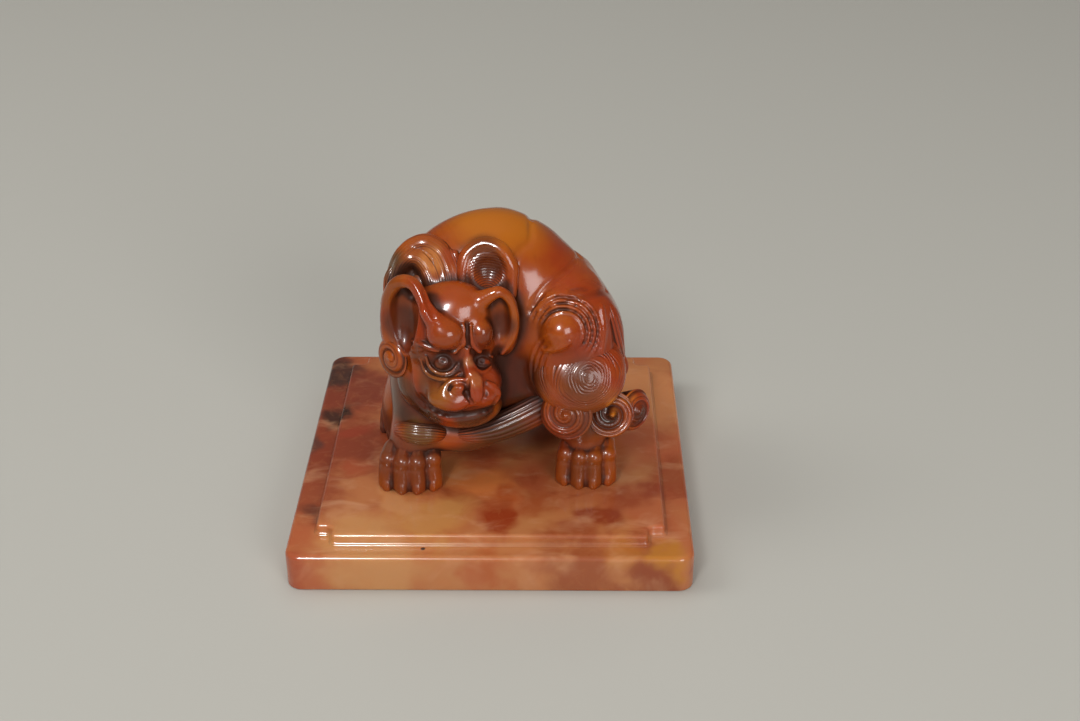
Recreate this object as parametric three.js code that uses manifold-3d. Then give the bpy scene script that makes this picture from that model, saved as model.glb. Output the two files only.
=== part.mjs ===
// Carved stone seal: a square plinth with a stamping face below, a notched table on top,
// and a guardian beast with an arched back that serves as the knob.
// Millimetres, +Z up. +X runs to the right of the seal's front, -Y points at the viewer.
// Left and right are the viewer's. Near is the side towards the viewer, far the side away.

import * as THREE from 'three';
import { mergeVertices } from 'three/addons/utils/BufferGeometryUtils.js';
import Module from 'manifold-3d';

const wasm = await Module();
wasm.setup();

// Driving dimensions of the block
const SEAL_SIDE = 90;
const PLINTH_HEIGHT = 8.9;
const PLINTH_CORNER_RADIUS = 3.6;
const PLINTH_EDGE_ROUND = 1.1;
const FACE_RELIEF = 1.2;
const FACE_BORDER = 4;
const SIDE_LEDGE = 6.25;
const FRONT_LEDGE = 5;
const TABLE_RISE = 2.4;
const TABLE_NOTCH = 3.8;
const TABLE_EDGE_ROUND = 0.5;
const CARVING_GAP = 0.3;

// Driving dimensions of the fret cut in the stamping face
const FRET_COUNT = 2;
const FRET_LINE = 3;
const FRET_SPACING = 3;

// Driving dimensions of the beast; heights are above the table, places on the near side
const BACK_CENTRE = { x: 3.5, y: -1, height: 30.6 };
const BACK_REACHES = [26.2, 24.8, 24.6, 28.9, 29.9, 29.2, 26.2, 22, 19, 18.5, 20, 24];
const BACK_HALF_DEPTH = 14.5;
const BACK_CURL = 3;
const SEGMENT_ANGLES = [18, 45, 72];
const SEGMENT_WIDTH = 6;
const SEGMENT_GROOVE = 1.1;
const HEAD_CENTRE = { x: -9.8, y: -13.5, height: 38 };
const HEAD_RADII = [13, 11.5, 11.2];
const MUZZLE_OFFSET = [3.6, -6.3, -10.6];
const MUZZLE_RADII = [9, 8.2, 6.6];
const JAW_OFFSET = [3, -4.6, -17];
const JAW_RADII = [9.6, 7.8, 4.6];
const NOSE_TIP_OFFSET = [3.7, -7.2, 1.2];
const NOSE_WINGS = [{ offset: [-4.7, 0.9, 0.6], size: 3.4 }, { offset: [3.1, 2.2, 0.8], size: 2.6 }];
const BROWS = [
  { name: 'brow_left', bearing: -2.7, rise: 18, size: 5.2 },
  { name: 'brow_right', bearing: 43, rise: 12, size: 4.4 },
];
const EYES = [
  { name: 'eye_left', bearing: -4, rise: -24, radius: 4 },
  { name: 'eye_right', bearing: 39, rise: -22, radius: 3 },
];
const EARS = [
  { name: 'ear_left', bearing: -66, rise: 38, lift: -0.4, opening: [0.1, -1, 0], lean: [0, 6, -8] },
  { name: 'ear_right', bearing: 70, rise: 12, lift: 0.2, opening: [0.55, -0.83, 0], lean: [0, -4, 56] },
];
const EAR_LENGTH = 17;
const EAR_WIDTH = 10.5;
const EAR_THICKNESS = 8;
const EAR_RIM = 1.8;
const CHEEK_CURL = { bearing: -72, rise: -38, lift: 1.4, radius: 4.6 };
const MANE_LOCKS = 5;
const MANE_FIRST_ANGLE = 117;
const MANE_SPACING = 14.5;
const MANE_START_SWING = 62;
const MANE_NEAR_END_SWING = 12;
const MANE_FAR_END_SWING = 38;
const MANE_LOCK_WIDTH = 3.7;
const MANE_LOCK_THICKNESS = 2.3;
const MANE_WHORL = { angle: 98, swing: -47, lift: 2.4, facing: [0.1, -0.8, 0.6], radius: 6.6 };
const CHEST_CENTRE = { x: -14, y: -6.5, height: 21 };
const CHEST_RADII = [9.6, 12.5, 14];
const THIGH_CENTRE = { x: 17.6, y: 10, height: 33 };
const THIGH_RADII = [11.4, 10.4, 14.5];
const THIGH_SWIRL = { bearing: -8, rise: 22, radius: 8 };
const FAR_THIGH_SHIFT = { x: -4, height: -9 };
const HOCK = { x: 21, y: 13.4, height: 21 };
const FAR_HOCK_SHIFT = { x: -4, height: -4 };
const SHANK_HALF_WIDTHS = [7, 7.6, 5.6];
const SHANK_HALF_THICKNESSES = [6, 6.6, 5.6];
const HOCK_WHORL = { x: 0, y: 5.4, height: 7.2, bearing: 4, radius: 8 };
const HOCK_CURLS = [
  { x: -4, y: 7, height: 0.2, bearing: -10, radius: 5.2 },
  { x: 6.2, y: 4.6, height: -1.4, bearing: 28, radius: 4.6 },
  { x: 10.2, y: -0.6, height: -5, bearing: 70, radius: 4.8 },
];
const HIND_PAW = { x: 21.2, y: 15.4 };
const NEAR_FORELEG = { paw: { x: -19, y: -17.8 }, heading: 0, elbowShift: { x: 4, y: 5 } };
const FAR_FORELEG = { paw: { x: -22.6, y: 3.6 }, heading: -35, elbowShift: { x: 4, y: -3 } };
const FORELEG_HALF_WIDTHS = [7, 7.4, 5.4];
const FORELEG_HALF_THICKNESSES = [6.4, 6.6, 5.2];
const ELBOW_HEIGHT = 16;
const WRIST_HAIR_THICKNESS = 5.2;
const ELBOW_LOCK_SAG = 3.4;
const ELBOW_LOCK_SWELL = 3;
const ELBOW_LOCK_HALF_WIDTHS = [2.2, 3.2, 3.8, 3.4];
const ELBOW_LOCK_HALF_THICKNESSES = [2.2, 2.6, 2.4, 2];
const TAIL = [
  { angle: 40, swing: -4, lift: -0.6 },
  { angle: 18, swing: -12, lift: 0.6 },
  { angle: -4, swing: -20, lift: 1 },
  { angle: -26, swing: -26, lift: 0.6 },
];
const TAIL_HALF_WIDTHS = [2.2, 3.4, 3.6, 1.6];
const TAIL_HALF_THICKNESSES = [1.8, 2.6, 2.6, 1.2];
const PAW_WIDTH = 13.6;
const PAW_LENGTH = 15;
const PAW_HEIGHT = 9.4;
const TOES = 4;
const TOE_OVERLAP = 1.15;

const TABLE_TOP = PLINTH_HEIGHT + TABLE_RISE;
const FULL_TURN = 2 * Math.PI;
const DEGREE = Math.PI / 180;

const point = (x, y, z) => new THREE.Vector3(x, y, z);
const aboveTable = ({ x, y, height }) => point(x, y, TABLE_TOP + height);

// Solids

/** Turns a closed geometry into a solid that can be cut and joined. */
function solidOf(geometry) {
  const bare = geometry.clone();
  bare.deleteAttribute('normal');
  bare.deleteAttribute('uv');
  const merged = mergeVertices(bare, 1e-4);
  const vertProperties = new Float32Array(merged.attributes.position.array);
  const triVerts = new Uint32Array(merged.index.array);
  return new wasm.Manifold(new wasm.Mesh({ numProp: 3, vertProperties, triVerts }));
}

/** Turns a solid back into a geometry. */
function geometryOf(solid) {
  const mesh = solid.getMesh();
  const geometry = new THREE.BufferGeometry();
  geometry.setAttribute('position', new THREE.BufferAttribute(new Float32Array(mesh.vertProperties), 3));
  geometry.setIndex(new THREE.BufferAttribute(new Uint32Array(mesh.triVerts), 1));
  return geometry;
}

/** Keeps the main body of a cut solid and drops the slivers that a cut leaves beside it. */
function mainBody(solid) {
  const bodies = solid.decompose();
  return bodies.reduce((largest, body) => (body.volume() > largest.volume() ? body : largest));
}

/** Closed skin over rings of equal length, drawn to a tip at each end. */
function skinOfRings(firstTip, rings, lastTip) {
  const around = rings[0].length;
  const corners = [firstTip, ...rings.flat(), lastTip];
  const faces = [];
  const corner = (ring, step) => 1 + ring * around + ((step + around) % around);
  for (let step = 0; step < around; step += 1) {
    faces.push(0, corner(0, step + 1), corner(0, step));
    for (let ring = 0; ring < rings.length - 1; ring += 1) {
      faces.push(corner(ring, step), corner(ring, step + 1), corner(ring + 1, step + 1));
      faces.push(corner(ring, step), corner(ring + 1, step + 1), corner(ring + 1, step));
    }
    faces.push(corners.length - 1, corner(rings.length - 1, step), corner(rings.length - 1, step + 1));
  }
  const geometry = new THREE.BufferGeometry();
  geometry.setAttribute('position', new THREE.Float32BufferAttribute(corners.flatMap((c) => c.toArray()), 3));
  geometry.setIndex(signedVolume(corners, faces) < 0 ? faces.reverse() : faces);
  return geometry;
}

/** Volume inside a skin, negative where its faces point inward. */
function signedVolume(corners, faces) {
  let volume = 0;
  for (let i = 0; i < faces.length; i += 3) {
    const [a, b, c] = [corners[faces[i]], corners[faces[i + 1]], corners[faces[i + 2]]];
    volume += a.dot(b.clone().cross(c)) / 6;
  }
  return volume;
}

/** Value at t (0 to 1) on a smooth line through evenly spaced values. */
function smoothThrough(values, t) {
  const line = new THREE.CatmullRomCurve3(values.map((value, i) => point(i, value, 0)));
  return line.getPoint(Math.min(Math.max(t, 0), 1)).y;
}

// Forms: each is a function of how far it is grown, so that a neighbour can be cut with a gap

/** Ellipsoid with optional turns about X, Y and Z in degrees. */
function ball(centre, radii, turns = [0, 0, 0], steps = [12, 8]) {
  return (grow = 0) => {
    const geometry = new THREE.SphereGeometry(1, steps[0], steps[1]);
    geometry.scale(...radii.map((radius) => radius + grow));
    const [rx, ry, rz] = turns.map((angle) => angle * DEGREE);
    geometry.applyMatrix4(new THREE.Matrix4().makeRotationFromEuler(new THREE.Euler(rx, ry, rz, 'XYZ')));
    geometry.translate(centre.x, centre.y, centre.z);
    return solidOf(geometry);
  };
}

/**
 * Limb, lock or strand: an oval section carried along a smooth path and closed by round ends.
 * halfWidths lie along `across`, halfThicknesses square to it; both run from start to end.
 */
function limb(path, halfWidths, halfThicknesses, across, stations = 9, around = 10) {
  return (grow = 0) => {
    const curve = new THREE.CatmullRomCurve3(path);
    const rings = [];
    for (let i = 1; i < stations; i += 1) {
      const t = (1 - Math.cos((Math.PI * i) / stations)) / 2;
      const centre = curve.getPoint(t);
      const along = curve.getTangent(t);
      const side = across.clone().addScaledVector(along, -across.dot(along)).normalize();
      const out = along.clone().cross(side);
      const roundEnd = Math.sin((Math.PI * i) / stations) ** 0.6;
      const width = smoothThrough(halfWidths, t) * roundEnd + grow;
      const thickness = smoothThrough(halfThicknesses, t) * roundEnd + grow;
      rings.push(Array.from({ length: around }, (_, k) => {
        const angle = (FULL_TURN * k) / around;
        return centre.clone()
          .addScaledVector(side, width * Math.cos(angle))
          .addScaledVector(out, thickness * Math.sin(angle));
      }));
    }
    const start = curve.getPoint(0).addScaledVector(curve.getTangent(0), -grow);
    const end = curve.getPoint(1).addScaledVector(curve.getTangent(1), grow);
    return solidOf(skinOfRings(start, rings, end));
  };
}

/**
 * Curl of hair seen end on: a domed disc whose face carries a spiral ridge.
 * The seat reaches `depth` behind the disc, into the form that carries it.
 */
function curl({ centre, facing, radius, dome, depth, turns, ridge = 0.35, hand = 1 }) {
  const around = 14;
  const steps = Math.round(turns * 2.5);
  return (grow = 0) => {
    const rings = [];
    for (let i = 1; i <= steps; i += 1) {
      const reach = i / steps;
      rings.push(Array.from({ length: around }, (_, k) => {
        const angle = (FULL_TURN * k) / around;
        const wave = Math.cos(FULL_TURN * turns * reach - hand * angle) * Math.min(1, reach * turns);
        const height = dome * Math.sqrt(1 - (0.94 * reach) ** 2) + ridge * wave + grow;
        return point(Math.cos(angle), Math.sin(angle), 0).multiplyScalar(radius * reach + grow).setZ(height);
      }));
    }
    rings.push(Array.from({ length: around }, (_, k) => {
      const angle = (FULL_TURN * k) / around;
      return point(Math.cos(angle), Math.sin(angle), 0).multiplyScalar(0.6 * radius + grow).setZ(-depth);
    }));
    const geometry = skinOfRings(point(0, 0, dome + grow), rings, point(0, 0, -depth - grow));
    const turn = new THREE.Quaternion().setFromUnitVectors(point(0, 0, 1), facing.clone().normalize());
    geometry.applyQuaternion(turn);
    geometry.translate(centre.x, centre.y, centre.z);
    return solidOf(geometry);
  };
}

/** Several forms joined into one. */
const joined = (...forms) => (grow = 0) => forms.map((form) => form(grow)).reduce((all, one) => all.add(one));

/** A form with another one scooped out of it; the hollow closes as the form grows. */
const scooped = (form, hollow) => (grow = 0) => form(grow).subtract(hollow(-grow));

/**
 * Place on an ellipsoid, by bearing (degrees from the front towards the right) and rise
 * (degrees above its middle), with the direction that its surface faces there.
 */
function placeOn(centre, radii, bearing, rise, lift = 0) {
  const flat = Math.cos(rise * DEGREE);
  const [ahead, aside] = [Math.cos(bearing * DEGREE), Math.sin(bearing * DEGREE)];
  const way = point(aside * flat, -ahead * flat, Math.sin(rise * DEGREE));
  const facing = point(way.x / radii[0], way.y / radii[1], way.z / radii[2]).normalize();
  const at = centre.clone().add(point(way.x * radii[0], way.y * radii[1], way.z * radii[2]));
  return { at: at.addScaledVector(facing, lift), facing };
}

// Block

/** Square outline with round corners, drawn inward by `inset`. */
function roundSquare(side, radius, inset, cornerSteps = 4) {
  const corner = Math.max(radius - inset, 0.2);
  const reach = side / 2 - inset - corner;
  return [0, 1, 2, 3].flatMap((quarter) => {
    const start = quarter * 90 * DEGREE;
    const middle = start + 45 * DEGREE;
    const cx = Math.sign(Math.cos(middle)) * reach;
    const cy = Math.sign(Math.sin(middle)) * reach;
    return Array.from({ length: cornerSteps + 1 }, (_, i) => {
      const angle = start + (i / cornerSteps) * 90 * DEGREE;
      return [cx + corner * Math.cos(angle), cy + corner * Math.sin(angle)];
    });
  });
}

/** Rectangle whose corners are stepped in by a square notch, drawn inward by `inset`. */
function notchedPanel(length, depth, notch, inset) {
  const [x, y] = [length / 2 - inset, depth / 2 - inset];
  const quarter = [[x, y - notch], [x - notch, y - notch], [x - notch, y]];
  const turned = quarter.map(([a, b]) => [-a, b]).reverse();
  const opposite = quarter.map(([a, b]) => [-a, -b]);
  const last = quarter.map(([a, b]) => [a, -b]).reverse();
  return [...quarter, ...turned, ...opposite, ...last];
}

/** Slab from a stack of [outline, z] layers. */
function slab(layers) {
  const rings = layers.map(([outline, z]) => outline.map(([x, y]) => point(x, y, z)));
  const [bottom, top] = [layers[0][1], layers[layers.length - 1][1]];
  return skinOfRings(point(0, 0, bottom), rings, point(0, 0, top));
}

/** Plinth with round corners and softened upper edges. */
function plinth() {
  const outline = (inset) => roundSquare(SEAL_SIDE, PLINTH_CORNER_RADIUS, inset);
  const edge = PLINTH_EDGE_ROUND;
  return slab([
    [outline(0), FACE_RELIEF],
    [outline(0), PLINTH_HEIGHT - edge],
    [outline(0.3 * edge), PLINTH_HEIGHT - 0.3 * edge],
    [outline(edge), PLINTH_HEIGHT],
  ]);
}

/** Notched table on the plinth, its upper edge softened. */
function table() {
  const [length, depth] = [SEAL_SIDE - 2 * SIDE_LEDGE, SEAL_SIDE - 2 * FRONT_LEDGE];
  const outline = (inset) => notchedPanel(length, depth, TABLE_NOTCH, inset);
  return slab([
    [outline(0), PLINTH_HEIGHT],
    [outline(0), TABLE_TOP - TABLE_EDGE_ROUND],
    [outline(TABLE_EDGE_ROUND), TABLE_TOP],
  ]);
}

/** Outline of a band of even width along a square spiral that fits a square of this size. */
function fretOutline(size) {
  const pitch = FRET_LINE + FRET_SPACING;
  const line = [[0, 0]];
  let way = [1, 0];
  let length = size - FRET_LINE;
  for (let arm = 1; length > FRET_SPACING; arm += 1) {
    const [x, y] = line[line.length - 1];
    line.push([x + way[0] * length, y + way[1] * length]);
    way = [-way[1], way[0]];
    if (arm > 2 && arm % 2) length -= pitch;
  }
  const step = (from, to) => [Math.sign(to[0] - from[0]), Math.sign(to[1] - from[1])];
  const side = (offset) => line.map(([x, y], i) => {
    const arrive = i > 0 ? step(line[i - 1], line[i]) : [0, 0];
    const leave = i < line.length - 1 ? step(line[i], line[i + 1]) : [0, 0];
    return [x - offset * (arrive[1] + leave[1]), y + offset * (arrive[0] + leave[0])];
  });
  const middle = (size - FRET_LINE) / 2;
  return [...side(FRET_LINE / 2), ...side(-FRET_LINE / 2).reverse()].map(([x, y]) => [x - middle, y - middle]);
}

/** Relief of the stamping face: a border and rows of square spirals standing out from the ground. */
function stampingRelief() {
  const raising = { depth: FACE_RELIEF, bevelEnabled: false };
  const raise = (shape) => solidOf(new THREE.ExtrudeGeometry(shape, raising));
  const corners = (outline) => outline.map(([x, y]) => new THREE.Vector2(x, y));
  const border = new THREE.Shape(corners(roundSquare(SEAL_SIDE, PLINTH_CORNER_RADIUS, 0)));
  border.holes.push(new THREE.Path(corners(roundSquare(SEAL_SIDE, PLINTH_CORNER_RADIUS, FACE_BORDER))));
  let relief = raise(border);
  const cell = (SEAL_SIDE - 2 * FACE_BORDER) / FRET_COUNT;
  const outline = fretOutline(cell - FRET_SPACING);
  for (let row = 0; row < FRET_COUNT; row += 1) {
    for (let column = 0; column < FRET_COUNT; column += 1) {
      const [x, y] = [column, row].map((place) => (place - (FRET_COUNT - 1) / 2) * cell);
      const turned = (row + column) % 2 ? -1 : 1;
      const placed = outline.map(([a, b]) => [turned * a + x, turned * b + y]);
      relief = relief.add(raise(new THREE.Shape(corners(placed))));
    }
  }
  return relief;
}

// Beast: places that its forms share

const NEAR = -1;
const FAR = 1;
const SIDE_NAMES = new Map([[NEAR, 'near'], [FAR, 'far']]);
const backCentre = aboveTable(BACK_CENTRE);
const head = aboveTable(HEAD_CENTRE);
const muzzle = head.clone().add(point(...MUZZLE_OFFSET));
const jaw = head.clone().add(point(...JAW_OFFSET));

/** Place on the head, by bearing and rise. */
const onHead = (bearing, rise, lift) => placeOn(head, HEAD_RADII, bearing, rise, lift);

/** Place above the table beside the body's middle plane; side is NEAR or FAR. */
const beside = ({ x, y, height }, side) => aboveTable({ x, y: side * y, height });

/** Place on a hind leg; the far leg is set lower and further under the body, by its own shift. */
const onHindLeg = ({ x, y, height }, side, farShift) => {
  const shift = side === FAR ? farShift : { x: 0, height: 0 };
  return beside({ x: x + shift.x, y, height: height + shift.height }, side);
};

/** Reach of the back from its centre at an angle round the Y axis: 0 is the rump, 90 the top. */
function backReach(angle) {
  const spacing = 360 / BACK_REACHES.length;
  const turns = new THREE.CatmullRomCurve3(BACK_REACHES.map((reach, i) => {
    const at = i * spacing * DEGREE;
    return point(reach * Math.cos(at), 0, reach * Math.sin(at));
  }), true, 'centripetal');
  const spot = turns.getPoint(((angle / 360) % 1 + 1) % 1);
  const dip = (line) => Math.exp(-(((angle - line) / SEGMENT_WIDTH) ** 2));
  const groove = SEGMENT_ANGLES.reduce((sum, line) => sum + dip(line), 0);
  return Math.hypot(spot.x, spot.z) - SEGMENT_GROOVE * groove;
}

/** Place on the back at an angle round the Y axis and a swing towards the near or far flank. */
function onBack(angle, swing, lift = 0) {
  const reach = backReach(angle) + lift;
  const flat = Math.max(Math.cos(swing * DEGREE), 0) ** 0.8;
  const x = reach * flat * Math.cos(angle * DEGREE);
  const z = reach * flat * Math.sin(angle * DEGREE);
  const curlIn = -BACK_CURL * (x / BACK_REACHES[0]) ** 2;
  return backCentre.clone().add(point(x, (BACK_HALF_DEPTH + lift) * Math.sin(swing * DEGREE) + curlIn, z));
}

// Beast: forms

/** Trunk with an arched back, creased between its segments. */
const trunk = (grow = 0) => {
  const around = 40;
  const rings = [];
  for (let ring = 1; ring < 9; ring += 1) {
    const swing = -90 + (180 * ring) / 9;
    rings.push(Array.from({ length: around }, (_, k) => onBack((360 * k) / around, swing, grow)));
  }
  return solidOf(skinOfRings(onBack(0, -90, grow), rings, onBack(0, 90, grow)));
};

/** Everything at or below the top of the table, used to set the paws down flat. */
const ground = solidOf(new THREE.BoxGeometry(2 * SEAL_SIDE, 2 * SEAL_SIDE, TABLE_TOP)
  .translate(0, 0, TABLE_TOP / 2));

/** Level directions ahead of and across a paw; heading in degrees from -Y towards +X. */
function waysOf(heading) {
  const ahead = point(Math.sin(heading * DEGREE), -Math.cos(heading * DEGREE), 0);
  return [ahead, point(-ahead.y, ahead.x, 0)];
}

/** Paw set flat on the table: a pad and a row of toes. */
function paw(centre, heading) {
  const [width, length, height] = [PAW_WIDTH, PAW_LENGTH, PAW_HEIGHT];
  const [ahead, across] = waysOf(heading);
  const pad = ball(point(centre.x, centre.y, TABLE_TOP + 0.3 * height).addScaledVector(ahead, -0.08 * length),
    [0.46 * width, 0.42 * length, 0.7 * height], [0, 0, heading], [11, 7]);
  const toeRadius = (TOE_OVERLAP * width) / (2 * TOES);
  const toes = Array.from({ length: TOES }, (_, i) => {
    const offset = (i - (TOES - 1) / 2) / TOES;
    const reach = 0.24 * length - 0.34 * length * offset ** 2;
    const spot = point(centre.x, centre.y, TABLE_TOP + 0.22 * height)
      .addScaledVector(ahead, reach).addScaledVector(across, offset * width * 0.98);
    return ball(spot, [toeRadius, 0.26 * length, 0.42 * height], [0, 0, heading], [7, 5]);
  });
  const whole = joined(pad, ...toes);
  return (grow = 0) => whole(grow).subtract(ground);
}

/** Ear: a leaf of stone with a hollow that opens towards the face it belongs to. */
function ear({ bearing, rise, lift, opening, lean }) {
  const { at } = onHead(bearing, rise, lift);
  const leaf = ball(at, [EAR_WIDTH / 2, EAR_THICKNESS / 2, EAR_LENGTH / 2], lean, [11, 7]);
  const hollow = ball(at.clone().addScaledVector(point(...opening), EAR_THICKNESS / 2),
    [EAR_WIDTH / 2 - EAR_RIM, EAR_THICKNESS / 2, EAR_LENGTH / 2 - EAR_RIM], lean, [9, 7]);
  return scooped(leaf, hollow);
}

/** Nose: bridge, tip and two nostril wings. */
function nose() {
  const tip = muzzle.clone().add(point(...NOSE_TIP_OFFSET));
  const bridge = limb([onHead(18, 18, 0).at, muzzle.clone().lerp(head, 0.45).add(point(1, -6.5, 0)), tip],
    [1.2, 2.2, 2.6], [1.4, 2.2, 2.2], point(1, 0, 0), 6, 8);
  const wings = NOSE_WINGS.map(({ offset, size }) => ball(tip.clone().add(point(...offset)),
    [size, 0.8 * size, 0.85 * size], [0, 0, 0], [9, 6]));
  return joined(bridge, ball(tip, [3, 2.4, 2.7], [0, 0, 0], [9, 6]), ...wings);
}

/** Brow: a round boss over an eye. */
function brow({ bearing, rise, size }) {
  const { at } = onHead(bearing, rise, -0.6);
  return ball(at, [size, 0.66 * size, 0.86 * size], [0, 0, bearing], [12, 8]);
}

/** Eye: a low dome ringed by its lid. */
function eye({ bearing, rise, radius }) {
  const { at, facing } = onHead(bearing, rise, -0.5);
  return curl({ centre: at, facing, radius, dome: 1.5, depth: 1.5, turns: 1.5, ridge: 0.25 });
}

/** Curl of hair on the cheek that the head's turn shows. */
function cheekCurl({ bearing, rise, lift, radius }) {
  const { at, facing } = onHead(bearing, rise, lift);
  return curl({ centre: at, facing, radius, dome: 1.8, depth: 3, turns: 2 });
}

/** Hollow whorl behind the head, from which the mane is combed. */
function maneWhorl({ angle, swing, lift, facing, radius }) {
  const centre = onBack(angle, swing, lift);
  return curl({ centre, facing: point(...facing), radius, dome: -1, depth: 4, turns: 2, ridge: 0.5 });
}

/** Lock of hair combed over the neck from one flank towards the top, along one angle of the back. */
function maneLock(angle, side) {
  const endSwing = side === NEAR ? MANE_NEAR_END_SWING : MANE_FAR_END_SWING;
  const path = [0, 1 / 3, 2 / 3, 1].map((share) => {
    const swing = MANE_START_SWING + share * (endSwing - MANE_START_SWING);
    return onBack(angle, side * swing, 0.3 * MANE_LOCK_THICKNESS);
  });
  const round = point(-Math.sin(angle * DEGREE), 0, Math.cos(angle * DEGREE));
  return limb(path, [0.7, 1, 1, 0.5].map((share) => share * MANE_LOCK_WIDTH),
    [0.8, 1, 0.9, 0.5].map((share) => share * MANE_LOCK_THICKNESS), round, 8, 9);
}

/** Shape of one thigh, the ball that the hind leg's other forms sit on. */
const thighBall = (side) => ({ centre: onHindLeg(THIGH_CENTRE, side, FAR_THIGH_SHIFT), radii: THIGH_RADII });
const hockOf = (side) => onHindLeg(HOCK, side, FAR_HOCK_SHIFT);

/** Curls of hair at the hock, with their places measured from the hock. */
function hockCurl({ x, y, height, bearing, radius }, side) {
  const hock = hockOf(side);
  const facing = point(Math.sin(bearing * DEGREE), side * Math.cos(bearing * DEGREE), 0.12);
  return curl({
    centre: hock.add(point(x, side * y, height)), facing, radius, dome: 0.42 * radius, depth: 0.8 * radius,
    turns: 2, ridge: 0.4, hand: side,
  });
}

/** Shank from the thigh over the hock down to the hind paw. */
function shank(side, hindPaw) {
  const knee = thighBall(side).centre.add(point(3, 0, -4));
  const ankle = aboveTable({ ...hindPaw, height: 0.7 * PAW_HEIGHT });
  return limb([knee, hockOf(side), ankle], SHANK_HALF_WIDTHS, SHANK_HALF_THICKNESSES, point(1, 0, 0), 8, 12);
}

/** Swirl of short hair laid on the ball of the thigh. */
function thighSwirl(side) {
  const { centre, radii } = thighBall(side);
  const { bearing, rise, radius } = THIGH_SWIRL;
  const { at, facing } = placeOn(centre, radii, side === NEAR ? bearing : 180 - bearing, rise, -0.6);
  return curl({ centre: at, facing, radius, dome: 1.9, depth: 2.4, turns: 1.5, hand: side });
}

const wristOf = (leg) => aboveTable({ ...leg.paw, height: 0.8 * PAW_HEIGHT });
const elbowOf = ({ paw: { x, y }, elbowShift }) => aboveTable({
  x: x + elbowShift.x, y: y + elbowShift.y, height: ELBOW_HEIGHT,
});

/** Foreleg from inside the chest over the elbow down to the wrist. */
function foreleg(elbow, wrist) {
  const shoulder = aboveTable(CHEST_CENTRE).lerp(elbow, 0.4);
  return limb([shoulder, elbow, wrist], FORELEG_HALF_WIDTHS, FORELEG_HALF_THICKNESSES, point(1, 0, 0), 8, 12);
}

/** Band of hair laid across the front of the wrist, above the paw. */
function wristHair(wrist, heading) {
  const [ahead, across] = waysOf(heading);
  const half = WRIST_HAIR_THICKNESS / 2;
  const path = [-1, 0, 1].map((step) => wrist.clone().add(point(0, 0, 2 * half - 0.4 * step))
    .addScaledVector(ahead, half - 1.2 * step * step)
    .addScaledVector(across, step * 0.42 * PAW_WIDTH + 1));
  return limb(path, [0.6 * half, half, 0.6 * half], [0.6 * half, half, 0.6 * half], point(0, 0, 1), 7, 9);
}

/** Lock of hair that sweeps from the elbow back to the hock. */
function elbowLock(elbow, hock, side) {
  const start = elbow.clone().add(point(5, side, -4));
  const end = hock.clone().add(point(-8.5, 0, -4));
  const sagging = (share) => start.clone().lerp(end, share)
    .add(point(0, side * ELBOW_LOCK_SWELL, -ELBOW_LOCK_SAG));
  return limb([start, sagging(1 / 3), sagging(2 / 3), end], ELBOW_LOCK_HALF_WIDTHS, ELBOW_LOCK_HALF_THICKNESSES,
    point(0, 0, 1), 9, 9);
}

// Nodes: the larger forms come first, and each later form is cut by the ones before it

const forms = new Map();
forms.set('trunk', { form: trunk, tone: 'back' });
forms.set('head', { form: ball(head, HEAD_RADII, [0, 0, 0], [18, 11]), tone: 'face' });
forms.set('chest', { form: ball(aboveTable(CHEST_CENTRE), CHEST_RADII), tone: 'body' });
for (const side of [NEAR, FAR]) {
  const name = SIDE_NAMES.get(side);
  const { centre, radii } = thighBall(side);
  forms.set(`thigh_${name}`, { form: ball(centre, radii, [0, 0, 0], [14, 10]), tone: 'body' });
}
forms.set('muzzle', { form: ball(muzzle, MUZZLE_RADII, [0, 0, 0], [14, 9]), tone: 'cheek' });
forms.set('lower_jaw', { form: ball(jaw, JAW_RADII, [0, 0, 0], [14, 7]), tone: 'leg' });
forms.set('nose', { form: nose(), tone: 'face' });
BROWS.forEach((place) => forms.set(place.name, { form: brow(place), tone: 'face' }));
EYES.forEach((place) => forms.set(place.name, { form: eye(place), tone: 'dark' }));
EARS.forEach((place) => forms.set(place.name, { form: ear(place), tone: 'back' }));
forms.set('cheek_curl_left', { form: cheekCurl(CHEEK_CURL), tone: 'body' });
forms.set('mane_whorl', { form: maneWhorl(MANE_WHORL), tone: 'hair' });
for (const side of [NEAR, FAR]) {
  for (let i = 0; i < MANE_LOCKS; i += 1) {
    const angle = MANE_FIRST_ANGLE + i * MANE_SPACING;
    forms.set(`mane_lock_${SIDE_NAMES.get(side)}_${i + 1}`, { form: maneLock(angle, side), tone: 'hair' });
  }
}

for (const side of [NEAR, FAR]) {
  const name = SIDE_NAMES.get(side);
  const hock = hockOf(side);
  const hindPaw = { x: HIND_PAW.x, y: side * HIND_PAW.y };
  forms.set(`shank_${name}`, { form: shank(side, hindPaw), tone: 'leg' });
  forms.set(`thigh_swirl_${name}`, { form: thighSwirl(side), tone: 'body' });
  forms.set(`hind_paw_${name}`, { form: paw(hindPaw, side === NEAR ? 0 : 180), tone: 'leg' });
  forms.set(`hock_whorl_${name}`, { form: hockCurl(HOCK_WHORL, side), tone: 'hair' });
  HOCK_CURLS.forEach((place, i) => {
    forms.set(`hock_curl_${name}_${i + 1}`, { form: hockCurl(place, side), tone: 'hair' });
  });

  const leg = side === NEAR ? NEAR_FORELEG : FAR_FORELEG;
  const [elbow, wrist] = [elbowOf(leg), wristOf(leg)];
  forms.set(`foreleg_${name}`, { form: foreleg(elbow, wrist), tone: 'leg' });
  forms.set(`forepaw_${name}`, { form: paw(leg.paw, leg.heading), tone: 'leg' });
  forms.set(`wrist_hair_${name}`, { form: wristHair(wrist, leg.heading), tone: 'hair' });
  forms.set(`elbow_lock_${name}`, { form: elbowLock(elbow, hock, side), tone: 'hair' });
}
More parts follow.
